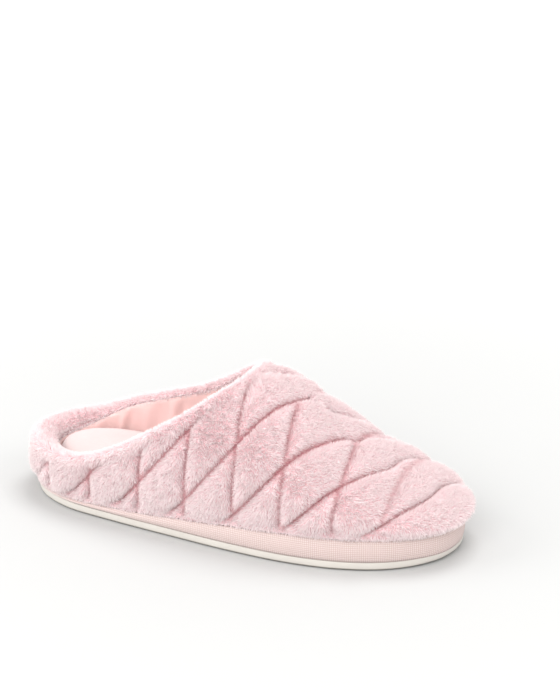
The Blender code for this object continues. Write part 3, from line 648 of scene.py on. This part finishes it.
def add_node(tree, kind, inputs=None, **settings):
    """A node with its settings, and its inputs set or linked."""
    made = tree.nodes.new(kind)
    for name, value in settings.items():
        setattr(made, name, value)
    for name, value in (inputs or {}).items():
        if isinstance(value, bpy.types.NodeSocket):
            tree.links.new(value, made.inputs[name])
        else:
            made.inputs[name].default_value = value
    return made


def linear(code):
    """Linear colour from an sRGB hex code."""
    parts = [int(code[k : k + 2], 16) / 255 for k in (0, 2, 4)]
    return (*[p / 12.92 if p <= 0.04045 else ((p + 0.055) / 1.055) ** 2.4 for p in parts], 1.0)


def new_finish(name, settings):
    """A material with its shader's own settings."""
    finish = bpy.data.materials.new(name)
    finish.use_nodes = True
    shader = finish.node_tree.nodes["Principled BSDF"]
    for key, value in {"IOR": POLYMER_IOR, **settings}.items():
        shader.inputs[key].default_value = value
    return finish, finish.node_tree, shader


def uneven_dye(tree, place, spot, detail, shade, light):
    """Colour that drifts between two tones, in spots of a size in millimetres."""
    drift = add_node(tree, "ShaderNodeTexNoise", {"Vector": place, "Scale": 1000 / spot, "Detail": detail})
    tones = {"Factor": drift.outputs["Fac"], "A": linear(shade), "B": linear(light)}
    return add_node(tree, "ShaderNodeMix", tones, data_type="RGBA").outputs["Result"]


def fine_relief(tree, shader, height, strength, depth):
    """A bump of the face, with its depth in millimetres."""
    relief = {"Height": height, "Strength": strength, "Distance": depth * MM}
    bump = add_node(tree, "ShaderNodeBump", relief)
    tree.links.new(bump.outputs["Normal"], shader.inputs["Normal"])


def grain(tree, place, size, detail):
    """Noise with grains of a size in millimetres."""
    noise = {"Vector": place, "Scale": 1000 / size, "Detail": detail}
    return add_node(tree, "ShaderNodeTexNoise", noise).outputs["Fac"]


def brushed_fleece_pile(name, shade, light, pressed, tips):
    """Polyester fleece, knitted and raised: matt fibres whose dye drifts a little from tuft to tuft."""
    matt = {"Roughness": 0.92, "Sheen Weight": 0.1, "Sheen Roughness": 0.6, "Specular IOR Level": 0.15}
    finish, tree, shader = new_finish(name, matt)
    place = add_node(tree, "ShaderNodeTexCoord").outputs["Object"]
    drawn_out = add_node(
        tree, "ShaderNodeVectorMath", {0: place, 1: (STREAK, 1.0, 1.0)}, operation="MULTIPLY"
    ).outputs["Vector"]
    colour = uneven_dye(tree, drawn_out, DRIFT_SPOT, 3.0, shade, light)
    for attribute, tone in (
        # Raised fibre ends are frayed and pale, so cloth seen along its nap looks frosted
        ("tip", tips),
        # Painted shade in the seams: the colour is darkened where shade falls in the quilting lines, and
        # partly for the pressed fibres lying closer there
        ("painted_crease_shade", pressed),
    ):
        share = add_node(tree, "ShaderNodeAttribute", attribute_name=attribute).outputs["Fac"]
        tones = {"Factor": share, "A": colour, "B": linear(tone)}
        colour = add_node(tree, "ShaderNodeMix", tones, data_type="RGBA").outputs["Result"]
    tree.links.new(colour, shader.inputs["Base Color"])
    return finish


def warp_knit_lining(shade="F8CFCA", light="FCDEDA"):
    """Satin-faced warp knit: soft gloss along the ribs and a fine knit grain."""
    satin = {"Roughness": 0.55, "Sheen Weight": 0.3, "Specular IOR Level": 0.35}
    finish, tree, shader = new_finish("warp_knit_lining", satin)
    place = add_node(tree, "ShaderNodeTexCoord").outputs["Object"]
    tree.links.new(uneven_dye(tree, place, 18.0, 2.0, shade, light), shader.inputs["Base Color"])
    fine_relief(tree, shader, grain(tree, place, 0.9, 1.0), 0.25, 0.2)
    return finish


def short_nap_fleece(shade="C5AFAD", light="CDBAB8"):
    """Fleece of the footbed: a short dense nap, near white with a breath of pink."""
    matt = {"Roughness": 0.95, "Sheen Weight": 0.4, "Specular IOR Level": 0.15}
    finish, tree, shader = new_finish("short_nap_fleece", matt)
    place = add_node(tree, "ShaderNodeTexCoord").outputs["Object"]
    tree.links.new(uneven_dye(tree, place, 9.0, 4.0, shade, light), shader.inputs["Base Color"])
    fine_relief(tree, shader, grain(tree, place, 1.1, 3.0), 0.5, 0.5)
    return finish


def plain_weave_cloth(gaps="C6ACA7", threads="E0D2CE"):
    """Polyester canvas in plain weave: threads over and under, each crossing a small raised bead."""
    matt = {"Roughness": 0.85, "Sheen Weight": 0.2, "Specular IOR Level": 0.2}
    finish, tree, shader = new_finish("plain_weave_cloth", matt)
    count = add_node(tree, "ShaderNodeUVMap", uv_map="thread_count")
    split = add_node(tree, "ShaderNodeSeparateXYZ", {"Vector": count.outputs["UV"]})
    waves = []
    for axis in ("X", "Y"):
        turn = add_node(tree, "ShaderNodeMath", {0: split.outputs[axis], 1: math.pi}, operation="MULTIPLY")
        waves.append(add_node(tree, "ShaderNodeMath", {0: turn.outputs[0]}, operation="SINE").outputs[0])
    product = add_node(tree, "ShaderNodeMath", {0: waves[0], 1: waves[1]}, operation="MULTIPLY")
    raised = add_node(tree, "ShaderNodeMath", {0: product.outputs[0]}, operation="ABSOLUTE").outputs[0]
    tones = {"Factor": raised, "A": linear(gaps), "B": linear(threads)}
    mix = add_node(tree, "ShaderNodeMix", tones, data_type="RGBA")
    tree.links.new(mix.outputs["Result"], shader.inputs["Base Color"])
    fine_relief(tree, shader, raised, 0.6, 0.3)
    return finish


def moulded_rubber(name, shade, size, light="DCD7CF", contact_shadow="5E574C"):
    """Moulded thermoplastic rubber: an off-white satin face with a fine spark-eroded grain."""
    finish, tree, shader = new_finish(name, {"Roughness": 0.5})
    place = add_node(tree, "ShaderNodeTexCoord").outputs["Object"]
    unshaded = uneven_dye(tree, place, 25.0, 2.0, shade, light)
    # Painted contact shadow: the edge is darkened where it turns under to the floor
    height = add_node(tree, "ShaderNodeSeparateXYZ", {"Vector": place}).outputs["Z"]
    ends = {"Value": height, "From Min": CONTACT_SHADOW_TOP * MM, "From Max": CONTACT_SHADOW_FULL * MM}
    low = add_node(tree, "ShaderNodeMapRange", ends)
    tones = {"Factor": low.outputs["Result"], "A": unshaded, "B": linear(contact_shadow)}
    shadowed = add_node(tree, "ShaderNodeMix", tones, data_type="RGBA")
    tree.links.new(shadowed.outputs["Result"], shader.inputs["Base Color"])
    fine_relief(tree, shader, grain(tree, place, size, 2.0), 0.2, 0.2)
    return finish


def feather_line(count):
    """Places of the grid along the upper's lower edge."""
    return np.c_[np.arange(count) * COLUMNS / count, np.zeros(count)]


def places_of(skin, made, where, feather):
    """Places of the grid for cut cloth, exact along the feather line."""
    places = skin.place(made)
    for k, place in enumerate(feather):
        places[where[k]] = place
    return places


def outer_cloth(skin, places, rim):
    """The cloth's outer face: its points, which way the pile lies, its length, and the seams' measures."""
    on_skin = skin.at(skin.points, places)
    depth, pressed, thread, whole = quilting(skin, places, distance_to(rim, on_skin))
    low = ease(skin.at(skin.up, places), 0.0, EDGE_PILE)
    kept = 1 - (1 - PRESSED) * pressed
    loft = PILE_HEIGHT * kept * (EDGE_LOFT + (1 - EDGE_LOFT) * low)
    most = wall_at(skin, places, 1)[:, 0] - LINING_THICK - 2 * GAP
    points = on_skin - skin.at(skin.normal, places) * np.minimum(depth + loft, most)[:, None]
    along = ease(skin.at(skin.height, places), *NAP_TURN_HEIGHT) * ease(on_skin[:, 0], *NAP_TURN_PLACE)
    lay = -skin.at(skin.up_way, places) * (1 - along)[:, None] + np.outer(along, [1, 0, 0])
    length = kept * (EDGE_LENGTH + (1 - EDGE_LENGTH) * low)
    # What each tuft must know of the seams: the cloth's own measures, smooth between its corners
    seams = {name: skin.at(getattr(skin, name), places) for name in SEAM_MEASURES}
    # The thread line also sets the painted shade that darkens the backing's colour in the seams
    return points, list(lay), list(length), {**seams, "quilted": whole, "painted_crease_shade": thread}


def collar_rings(skin, collar, start):
    """Rings that carry the cloth on from the collar: the roll, the facing, and its end under the lining."""
    out = ring_sides(collar)
    place = skin.place(collar)
    normal = unit(skin.at(skin.normal, place))
    ahead = unit(np.roll(start, -1, axis=0) - np.roll(start, 1, axis=0))
    away = unit(np.cross(normal, ahead))
    towards = skin.at(skin.points, skin.place(collar - out * ROLL_SIDE)) - start
    away *= np.sign((away * towards).sum(axis=1))[:, None]
    facing = wall_at(skin, place, 2)
    padding = np.linalg.norm(skin.at(skin.padding, place), axis=1)[:, None]
    half = (facing + padding) / 2 - PILE_HEIGHT
    crown = facing / 2 - PILE_HEIGHT
    rings = []
    for k in range(1, ROLL_STEPS + 1):
        turn = math.pi * k / ROLL_STEPS
        rings.append(start - normal * half * (1 - math.cos(turn)) + away * crown * math.sin(turn))
    reach = facing_drop(skin, collar)
    for k in range(1, FACING_RINGS + 1):
        place = skin.place(collar + out * reach * (k / FACING_RINGS))
        rings.append(inner_face(skin, place, wall_at(skin, place, 2) - PILE_HEIGHT))
    tucked = collar + out * (reach + FACING_TUCK)
    place = skin.place(tucked)
    rings.append(inner_face(skin, place, wall_at(skin, place, 1) - UNDER_LINING))
    return rings, away, tucked


def pile_zones(middles, outer_end, facing_end):
    """Which stretch of pile each face of the cloth belongs to, and -1 for none."""
    zone = np.full(len(middles), -1)
    zone[outer_end:facing_end] = len(PILE_ZONES) - 1
    outer = middles[:outer_end]
    sides = {"both": outer[:, 1] < np.inf, "outer": outer[:, 1] < 0, "inner": outer[:, 1] >= 0}
    for k, (name, start, end, side) in enumerate(PILE_ZONES[:-1]):
        zone[:outer_end][(outer[:, 0] >= start) & (outer[:, 0] < end) & sides[side]] = k
    return zone


def leaning_nap(mesh, lay):
    """The way the pile points: out of the cloth, and over the way it lies."""
    standing = np.empty(len(lay) * 3)
    mesh.vertices.foreach_get("normal", standing)
    standing = standing.reshape(-1, 3)
    lay = lay - standing * (lay * standing).sum(axis=1)[:, None]
    lies = np.linalg.norm(lay, axis=1) > 1e-3
    return unit(standing + unit(lay) * NAP_LEAN * lies[:, None])


def make_plush_cloth(skin, material):
    """The upper's backing cloth and wadding under the pile: outer face, roll, facing and inside."""
    edge = feather_line(FEATHER_COUNT)
    feather = skin.at(skin.chart, edge)
    collar = spaced(collar_line(skin), COLLAR_COUNT)
    made, faces, where = cut_cloth(feather, collar, CLOTH_STEP, CLOTH_CLEAR)
    places = places_of(skin, made, where, edge)
    outer, lay, length, seams = outer_cloth(skin, places, skin.at(skin.points, skin.place(collar)))
    feather_index = [where[k] for k in range(FEATHER_COUNT)]
    previous = [where[FEATHER_COUNT + k] for k in range(COLLAR_COUNT)]
    points = list(outer)
    triangles = [tuple(face) for face in faces]
    outer_end = len(triangles)
    rings, away, tucked = collar_rings(skin, collar, outer[previous])
    for n, ring in enumerate(rings):
        index = list(range(len(points), len(points) + COLLAR_COUNT))
        points += list(ring)
        triangles += strip(previous, index)
        lay += list(-away if n >= ROLL_STEPS else 0 * away)
        length += [FACING_LENGTH if n < len(rings) - 1 else 0.0] * COLLAR_COUNT
        previous = index
    facing_end = len(triangles) - 2 * COLLAR_COUNT
    # The inside, hidden by the lining, in large triangles without pile
    made, faces, where = cut_cloth(feather, tucked, HIDDEN_STEP, HIDDEN_CLEAR)
    places = places_of(skin, made, where, edge)
    first = len(points)
    points += list(inner_face(skin, places, wall_at(skin, places, 1) - UNDER_LINING))
    lay += [np.zeros(3)] * len(made)
    length += [0.0] * len(made)
    joined = {first + where[FEATHER_COUNT + k]: previous[k] for k in range(COLLAR_COUNT)}
    for face in faces:
        triangles.append(tuple(joined.get(first + k, first + k) for k in face))
    triangles += strip(feather_index, [first + where[k] for k in range(FEATHER_COUNT)])
    points = np.array(points)
    zone = pile_zones(points[np.array(triangles)].mean(axis=1), outer_end, facing_end)
    used, triangles = without_spare(points, triangles)
    cloth = piece_of("plush_cloth", points[used], triangles, material)
    mesh = cloth.data
    add_values(mesh, "zone", "INT", "FACE", zone)
    add_values(mesh, "nap", "FLOAT_VECTOR", "POINT", leaning_nap(mesh, np.array(lay)[used]))
    add_values(mesh, "pile", "FLOAT", "POINT", np.array(length)[used])
    for name, values in seams.items():
        every = np.zeros(len(points))
        every[: len(values)] = values
        add_values(mesh, name, "FLOAT", "POINT", every[used])
    return cloth


def add_values(mesh, name, kind, domain, values):
    """A value for each point or face of a mesh."""
    attribute = mesh.attributes.new(name, kind, domain)
    key = "vector" if kind == "FLOAT_VECTOR" else "value"
    attribute.data.foreach_set(key, np.asarray(values).ravel())


def read_values(mesh, name):
    """One of a mesh's values, point by point."""
    values = np.empty(len(mesh.vertices))
    mesh.attributes[name].data.foreach_get("value", values)
    return values


def pile_tree():
    """Tufts over the faces of one zone: slender spikes that follow the nap, each a little its own way."""
    tree = bpy.data.node_groups.new("pile", "GeometryNodeTree")
    face = tree.interface
    face.new_socket("Cloth", in_out="INPUT", socket_type="NodeSocketGeometry")
    names = {}
    for name, kind in (
        ("Zone", "NodeSocketInt"),
        ("Tufts per square metre", "NodeSocketFloat"),
        ("Length", "NodeSocketFloat"),
        ("Width", "NodeSocketFloat"),
        ("Spread", "NodeSocketFloat"),
        ("Clumps per metre", "NodeSocketFloat"),
        ("Seed", "NodeSocketInt"),
        ("Material", "NodeSocketMaterial"),
    ):
        names[name] = face.new_socket(name, in_out="INPUT", socket_type=kind).identifier
    face.new_socket("Pile", in_out="OUTPUT", socket_type="NodeSocketGeometry")
    given = add_node(tree, "NodeGroupInput").outputs
    # Roots, over the cloth of the zone
    zone = add_node(tree, "GeometryNodeInputNamedAttribute", {"Name": "zone"}, data_type="INT")
    equal = {2: zone.outputs["Attribute"], 3: given["Zone"]}
    chosen = add_node(tree, "FunctionNodeCompare", equal, data_type="INT", operation="EQUAL")
    sown = {
        "Mesh": given["Cloth"],
        "Selection": chosen.outputs["Result"],
        "Density": given["Tufts per square metre"],
        "Seed": given["Seed"],
    }
    roots = add_node(tree, "GeometryNodeDistributePointsOnFaces", sown, distribute_method="RANDOM")
    # Each tuft points along the nap, strays by itself, and leans together with the others of its lock
    nap = add_node(tree, "GeometryNodeInputNamedAttribute", {"Name": "nap"}, data_type="FLOAT_VECTOR")
    any_way = {"Min": (-1.0, -1.0, -1.0), "Max": (1.0, 1.0, 1.0), "Seed": given["Seed"]}
    stray = add_node(tree, "FunctionNodeRandomValue", any_way, data_type="FLOAT_VECTOR").outputs["Value"]
    own = add_node(tree, "ShaderNodeVectorMath", {0: stray, "Scale": given["Spread"]}, operation="SCALE")
    spot = add_node(tree, "GeometryNodeInputPosition").outputs[0]
    stretch = {0: spot, 1: (CLUMP_STREAK, 1.0, 1.0)}
    drawn_out = add_node(tree, "ShaderNodeVectorMath", stretch, operation="MULTIPLY")
    locks = {"Vector": drawn_out.outputs["Vector"], "Scale": given["Clumps per metre"], "Detail": 1.0}
    clump = add_node(tree, "ShaderNodeTexNoise", locks, noise_dimensions="3D").outputs["Color"]
    centred = add_node(tree, "ShaderNodeVectorMath", {0: clump, 1: (0.5, 0.5, 0.5)}, operation="SUBTRACT")
    pull = {0: centred.outputs["Vector"], "Scale": CLUMP_LEAN}
    together = add_node(tree, "ShaderNodeVectorMath", pull, operation="SCALE")
    leans = {0: own.outputs["Vector"], 1: together.outputs["Vector"]}
    lean = add_node(tree, "ShaderNodeVectorMath", leans, operation="ADD")
    ways = {0: nap.outputs["Attribute"], 1: lean.outputs["Vector"]}
    way = add_node(tree, "ShaderNodeVectorMath", ways, operation="ADD")
    turn = add_node(tree, "FunctionNodeAlignRotationToVector", {"Vector": way.outputs["Vector"]}, axis="Z")
    # The tuft, which knows how far up each of its points is
    form = {
        "Vertices": TUFT_SIDES,
        "Radius Top": 0.0,
        "Radius Bottom": given["Width"],
        "Depth": given["Length"],
    }
    tuft = add_node(tree, "GeometryNodeMeshCone", form, fill_type="NGON")
    height = add_node(tree, "ShaderNodeSeparateXYZ", {"Vector": spot}).outputs["Z"]
    share = add_node(tree, "ShaderNodeMath", {0: height, 1: given["Length"]}, operation="DIVIDE")
    tip = {"Geometry": tuft.outputs["Mesh"], "Name": "tip", "Value": share.outputs[0]}
    tipped = add_node(tree, "GeometryNodeStoreNamedAttribute", tip, data_type="FLOAT", domain="POINT")
    # Length, by the pile's own length there and a little chance
    pile = add_node(tree, "GeometryNodeInputNamedAttribute", {"Name": "pile"}, data_type="FLOAT")
    ends = {2: TUFT_UNEVEN[0], 3: TUFT_UNEVEN[1], "Seed": given["Seed"]}
    uneven = add_node(tree, "FunctionNodeRandomValue", ends, data_type="FLOAT")
    lengths = {0: pile.outputs["Attribute"], 1: uneven.outputs[1]}
    tall = add_node(tree, "ShaderNodeMath", lengths, operation="MULTIPLY")
    size = add_node(tree, "ShaderNodeCombineXYZ", {"X": 1.0, "Y": 1.0, "Z": tall.outputs[0]})
    planted = {
        "Points": roots.outputs["Points"],
        "Instance": tipped.outputs["Geometry"],
        "Rotation": turn.outputs["Rotation"],
        "Scale": size.outputs["Vector"],
    }
    tufts = add_node(tree, "GeometryNodeInstanceOnPoints", planted)
    real = add_node(tree, "GeometryNodeRealizeInstances", {"Geometry": tufts.outputs["Instances"]})
    dye = {"Geometry": real.outputs["Geometry"], "Material": given["Material"]}
    dyed = add_node(tree, "GeometryNodeSetMaterial", dye)
    add_node(tree, "NodeGroupOutput", {"Pile": dyed.outputs["Geometry"]})
    return tree, names


def finished_mesh(piece):
    """A plain mesh of a piece as its live modifiers leave it."""
    bpy.context.view_layer.update()
    graph = bpy.context.evaluated_depsgraph_get()
    return bpy.data.meshes.new_from_object(piece.evaluated_get(graph))


def make_pile(cloth, tree, names, zone, name, material):
    """One stretch of pile, grown from the cloth and made a plain mesh."""
    grown = placed(name, cloth.data)
    modifier = grown.modifiers.new("pile", "NODES")
    modifier.node_group = tree
    values = {
        "Zone": zone,
        "Tufts per square metre": TUFTS_PER_MM2 * 1e6,
        "Length": TUFT_LENGTH * MM,
        "Width": TUFT_WIDTH / 2 * MM,
        "Spread": TUFT_STRAY,
        "Clumps per metre": 1000 / CLUMP_SPOT,
        "Seed": PILE_SEED + zone,
        "Material": material,
    }
    for key, value in values.items():
        modifier[names[key]] = value
    mesh = finished_mesh(grown)
    bpy.data.objects.remove(grown)
    mesh.name = name
    mesh.shade_flat()
    # Painted shade for the seams, worked out tuft by tuft from the cloth's measures
    measures = [read_values(mesh, key) for key in SEAM_MEASURES]
    painted_crease_shade = painted_seam_shade(*measures) * read_values(mesh, "quilted")
    for spent in (*SEAM_MEASURES, "quilted"):
        mesh.attributes.remove(mesh.attributes[spent])
    add_values(mesh, "painted_crease_shade", "FLOAT", "POINT", painted_crease_shade)
    return placed(name, mesh)


def lining_folds(points):
    """How far the slack lining stands into the shoe: a ridge with a soft trough in front of it."""
    rise = np.zeros(len(points))
    for station, side, depth, width in LINING_FOLDS:
        off = points[:, 0] - station * SOLE_LENGTH - FOLD_LEAN * (points[:, 2] - PLATFORM)
        here = np.sign(points[:, 1]) == side
        ridge = hollow(off, width) - TROUGH_DEPTH * hollow(off - TROUGH_AWAY * width, width)
        rise += here * depth * ridge
    return rise


def make_lining(skin, material):
    """The lining from the facing's seam down to the platform, slack enough to fold."""
    feather = skin.at(skin.chart, feather_line(FEATHER_COUNT // 2) + [0, LINING_ROW])
    collar = spaced(collar_line(skin), COLLAR_COUNT)
    top = collar + ring_sides(collar) * (facing_drop(skin, collar) - LINING_TUCK)
    made, faces, where = cut_cloth(feather, top, LINING_STEP, LINING_CLEAR)
    places = skin.place(made)
    wall = wall_at(skin, places, 1)
    back = inner_face(skin, places, wall - LINING_THICK)
    from_seam = distance_to(top, made)
    slack = lining_folds(back) * ease(from_seam, *LINING_SLACK)
    front = inner_face(skin, places, wall + (slack - SEAM_SUNK * hollow(from_seam, SEAM_LINE))[:, None])
    count = len(made)
    triangles = [tuple(face) for face in faces] + [tuple(face[::-1] + count) for face in faces]
    for start, size in ((0, len(feather)), (len(feather), len(top))):
        ring = [where[start + k] for k in range(size)]
        triangles += strip(ring, [k + count for k in ring])
    points = np.concatenate([front, back])
    used, triangles = without_spare(points, triangles)
    return piece_of("lining", points[used], triangles, material)


def rings_piece(name, rings, material, closed=False, caps=False):
    """Rings of points joined one to the next, closed round or with caps."""
    count = len(rings[0])
    starts = [k * count for k in range(len(rings))]
    pairs = list(zip(starts, starts[1:] + [0] if closed else starts[1:]))
    faces = []
    for low, high in pairs:
        for n in range(count):
            m = (n + 1) % count
            faces.append((low + n, low + m, high + m, high + n))
    if caps:
        faces.append(tuple(range(count)))
        faces.append(tuple(range(starts[-1], starts[-1] + count)))
    return piece_of(name, np.concatenate(rings), faces, material)


def make_band(material):
    """The woven cloth round the platform, with its thread count as a map."""
    edge, side = sole_edge(BAND_COLUMNS)
    foot = table(edge[:, 0] / SOLE_LENGTH, FEATHER) - GAP
    start = OUTSOLE_EDGE + GAP
    rings = [np.c_[edge - side * BAND, start + 0 * foot]]
    for share in np.linspace(0, 1, BAND_RINGS):
        swell = BAND_SWELL * math.sin(math.pi * share)
        rings.append(np.c_[edge + side * swell, start + (foot - start) * share])
    rings.append(np.c_[edge - side * BAND, foot])
    band = rings_piece("woven_band", rings, material, closed=True)
    step = np.linalg.norm(np.roll(edge, -1, axis=0) - edge, axis=1)
    along = np.r_[0, np.cumsum(step)]
    threads = round(along[-1] / WEAVE_PITCH)
    mesh = band.data
    layer = mesh.uv_layers.new(name="thread_count")
    for polygon in mesh.polygons:
        columns = [mesh.loops[k].vertex_index % BAND_COLUMNS for k in polygon.loop_indices]
        wraps = max(columns) - min(columns) > 1
        for k, column in zip(polygon.loop_indices, columns):
            column = column + BAND_COLUMNS if wraps and column == 0 else column
            height = mesh.vertices[mesh.loops[k].vertex_index].co.z / MM
            layer.data[k].uv = (along[column] / along[-1] * threads, height / WEAVE_PITCH)
    return band


def make_insole(material):
    """The footbed pad: a plump closed form over the platform."""
    edge, side = sole_edge(PAD_COLUMNS)
    station = edge[:, 0] / SOLE_LENGTH
    top = table(station, INSOLE_EDGE)
    low = PLATFORM + GAP
    fit = table(station, WALL_THICK)[:, None] + 4 * GAP
    rings = [np.c_[edge - side * (fit + inset), low + rise + 0 * top] for inset, rise in INSOLE_FOOT]
    rings += [np.c_[edge - side * (fit + inset), top - depth] for inset, depth in INSOLE_SHOULDER]
    rim = edge - side * (fit + INSOLE_RIM)
    over = ridge_under(station)
    ridge = np.c_[over * SOLE_LENGTH, BALL_WIDTH * table(over, RIDGE_SIDE)]
    for share in INSOLE_RINGS:
        plan = ridge + (rim - ridge) * share
        height = table(plan[:, 0] / SOLE_LENGTH, INSOLE_EDGE) + INSOLE_DOME * (1 - share**2)
        rings.append(np.c_[plan, height])
    return plumped(rings_piece("footbed_pad", rings, material, caps=True))


def plumped(pad):
    """The pad blown up as cloth: evened faces, air inside, then a cap on how far each point has moved."""
    even = pad.modifiers.new("even", "REMESH")
    even.mode = "VOXEL"
    even.voxel_size = PAD_VOXEL * MM
    set_mesh(pad)
    rest = mesh_points(pad.data)
    air = pad.modifiers.new("air", "CLOTH")
    air.settings.quality = 6
    air.settings.mass = 0.3
    air.settings.use_pressure = True
    air.settings.uniform_pressure_force = PAD_PRESSURE
    air.settings.effector_weights.gravity = 0.0
    air.point_cache.frame_start = 1
    air.point_cache.frame_end = PAD_FRAMES
    for frame_number in range(1, PAD_FRAMES + 1):
        bpy.context.scene.frame_set(frame_number)
    set_mesh(pad)
    bpy.context.scene.frame_set(1)
    moved = mesh_points(pad.data) - rest
    far = np.maximum(np.linalg.norm(moved, axis=1), 1e-9)[:, None]
    moved *= np.minimum(1, PAD_MOVE * MM / far)
    pad.data.vertices.foreach_set("co", (rest + moved).ravel())
    smooth = pad.modifiers.new("smooth", "SUBSURF")
    smooth.levels = 1
    smooth.render_levels = 1
    set_mesh(pad)
    pad.data.shade_smooth()
    return pad


def mesh_points(mesh):
    """Where a mesh's points are, in metres."""
    points = np.empty(len(mesh.vertices) * 3)
    mesh.vertices.foreach_get("co", points)
    return points.reshape(-1, 3)


def set_mesh(piece):
    """Turns a piece's live modifiers into its own plain mesh."""
    mesh = finished_mesh(piece)
    piece.modifiers.clear()
    piece.data = mesh


def merged_copy(node, name, material, corner):
    """A CAD node's own shape with its loose triangles merged, smooth but for its corners."""
    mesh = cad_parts[node].data.copy()
    mesh.name = name
    work = bmesh.new()
    work.from_mesh(mesh)
    bmesh.ops.remove_doubles(work, verts=work.verts, dist=1e-6)
    work.to_mesh(mesh)
    work.free()
    mesh.materials.clear()
    mesh.materials.append(material)
    mesh.shade_smooth()
    mesh.set_sharp_from_angle(angle=math.radians(corner))
    return placed(name, mesh)


def make_floor():
    """Rolled paper, seamless and matt, with painted light: its colour turns from grey near the shoe to near
    white further off, standing in for paper lit more brightly away from the shoe.
    """
    mesh = bpy.data.meshes.new("floor")
    corners = [(x * FLOOR_REACH, y * FLOOR_REACH, 0) for x, y in ((-1, -1), (1, -1), (1, 1), (-1, 1))]
    mesh.from_pydata(corners, [], [(0, 1, 2, 3)])
    finish, tree, shader = new_finish("white_paper", {"Roughness": 0.9, "Specular IOR Level": 0.1})
    place = add_node(tree, "ShaderNodeTexCoord").outputs["Object"]
    away = add_node(tree, "ShaderNodeVectorMath", {0: place}, operation="LENGTH").outputs["Value"]
    ends = {"Value": away, "From Min": FLOOR_PAINTED_LIGHT[0], "From Max": FLOOR_PAINTED_LIGHT[1]}
    far = add_node(tree, "ShaderNodeMapRange", ends, interpolation_type="SMOOTHSTEP")
    tones = {"Factor": far.outputs["Result"], "A": linear("BFBFBE"), "B": linear("FAFAFA")}
    mix = add_node(tree, "ShaderNodeMix", tones, data_type="RGBA")
    tree.links.new(mix.outputs["Result"], shader.inputs["Base Color"])
    mesh.materials.append(finish)
    floor = placed("floor", mesh)


def add_light(name, place, size, watts):
    """A round soft box turned to the shoe."""
    data = bpy.data.lights.new(name, "AREA")
    data.shape = "DISK"
    data.size = size
    data.energy = watts
    light = placed(name, data)
    light.location = place
    light.rotation_euler = (Vector(LOOKED_AT) - Vector(place)).to_track_quat("-Z", "Y").to_euler()


def make_studio():
    """Soft light from all round, and soft boxes high behind, in front, and off the toe and the heel."""
    world = bpy.data.worlds.new("studio")
    world.use_nodes = True
    back = world.node_tree.nodes["Background"]
    back.inputs["Color"].default_value = linear("FFFFFF")
    back.inputs["Strength"].default_value = SKY
    bpy.context.scene.world = world
    for light in LIGHTS:
        add_light(*light)
    bpy.context.scene.view_settings.view_transform = "Standard"


def make_camera():
    """The photograph's view. The aim point right of and above the shoe sets the shoe in the frame."""
    azimuth, elevation = math.radians(AZIMUTH), math.radians(ELEVATION)
    level = math.cos(elevation)
    back = Vector((math.sin(azimuth) * level, -math.cos(azimuth) * level, math.sin(elevation)))
    right = Vector((math.cos(azimuth), math.sin(azimuth), 0))
    up = back.cross(right)
    place = Vector(LOOKED_AT) + back * DISTANCE
    aim = Vector(LOOKED_AT) + right * AIM_RIGHT + up * AIM_UP
    data = bpy.data.cameras.new("camera")
    data.lens = LENS
    data.sensor_width = SENSOR
    camera = placed("camera", data)
    camera.location = place
    camera.rotation_euler = (aim - place).to_track_quat("-Z", "Y").to_euler()
    bpy.context.scene.camera = camera


make_camera()
make_studio()
make_floor()

skin = Skin()
# The pressed tones are painted seam shade, and partly the deeper colour of the pressed fibres
pink_pile = brushed_fleece_pile(
    "brushed_fleece_pile", shade="ECCED4", light="F4E4E4", pressed="DAA4A8", tips="F4ECEB"
)
backing = brushed_fleece_pile(
    "fleece_backing", shade="E6BDC2", light="EDCBCD", pressed="C47F86", tips="EDCBCD"
)
cloth = make_plush_cloth(skin, backing)
tree, names = pile_tree()
for zone, (name, start, end, sides) in enumerate(PILE_ZONES):
    pile = make_pile(cloth, tree, names, zone, name, pink_pile)
    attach(pile, "root")
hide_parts("upper")
lining = make_lining(skin, warp_knit_lining())
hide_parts("upper")
band = make_band(plain_weave_cloth())
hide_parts("cloth_band")
pad = make_insole(short_nap_fleece())
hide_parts("insole")
rubber = moulded_rubber("moulded_rubber", shade="CBC5BE", size=0.8)
sole = merged_copy("outsole", "rubber_sole", rubber, OUTSOLE_CORNER)
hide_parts("outsole")
for piece in (cloth, lining, band, pad, sole):
    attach(piece, "root")
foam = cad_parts["midsole"]
foam.data.materials.clear()
foam.data.materials.append(moulded_rubber("closed_cell_foam", shade="E9DDD6", size=1.5))
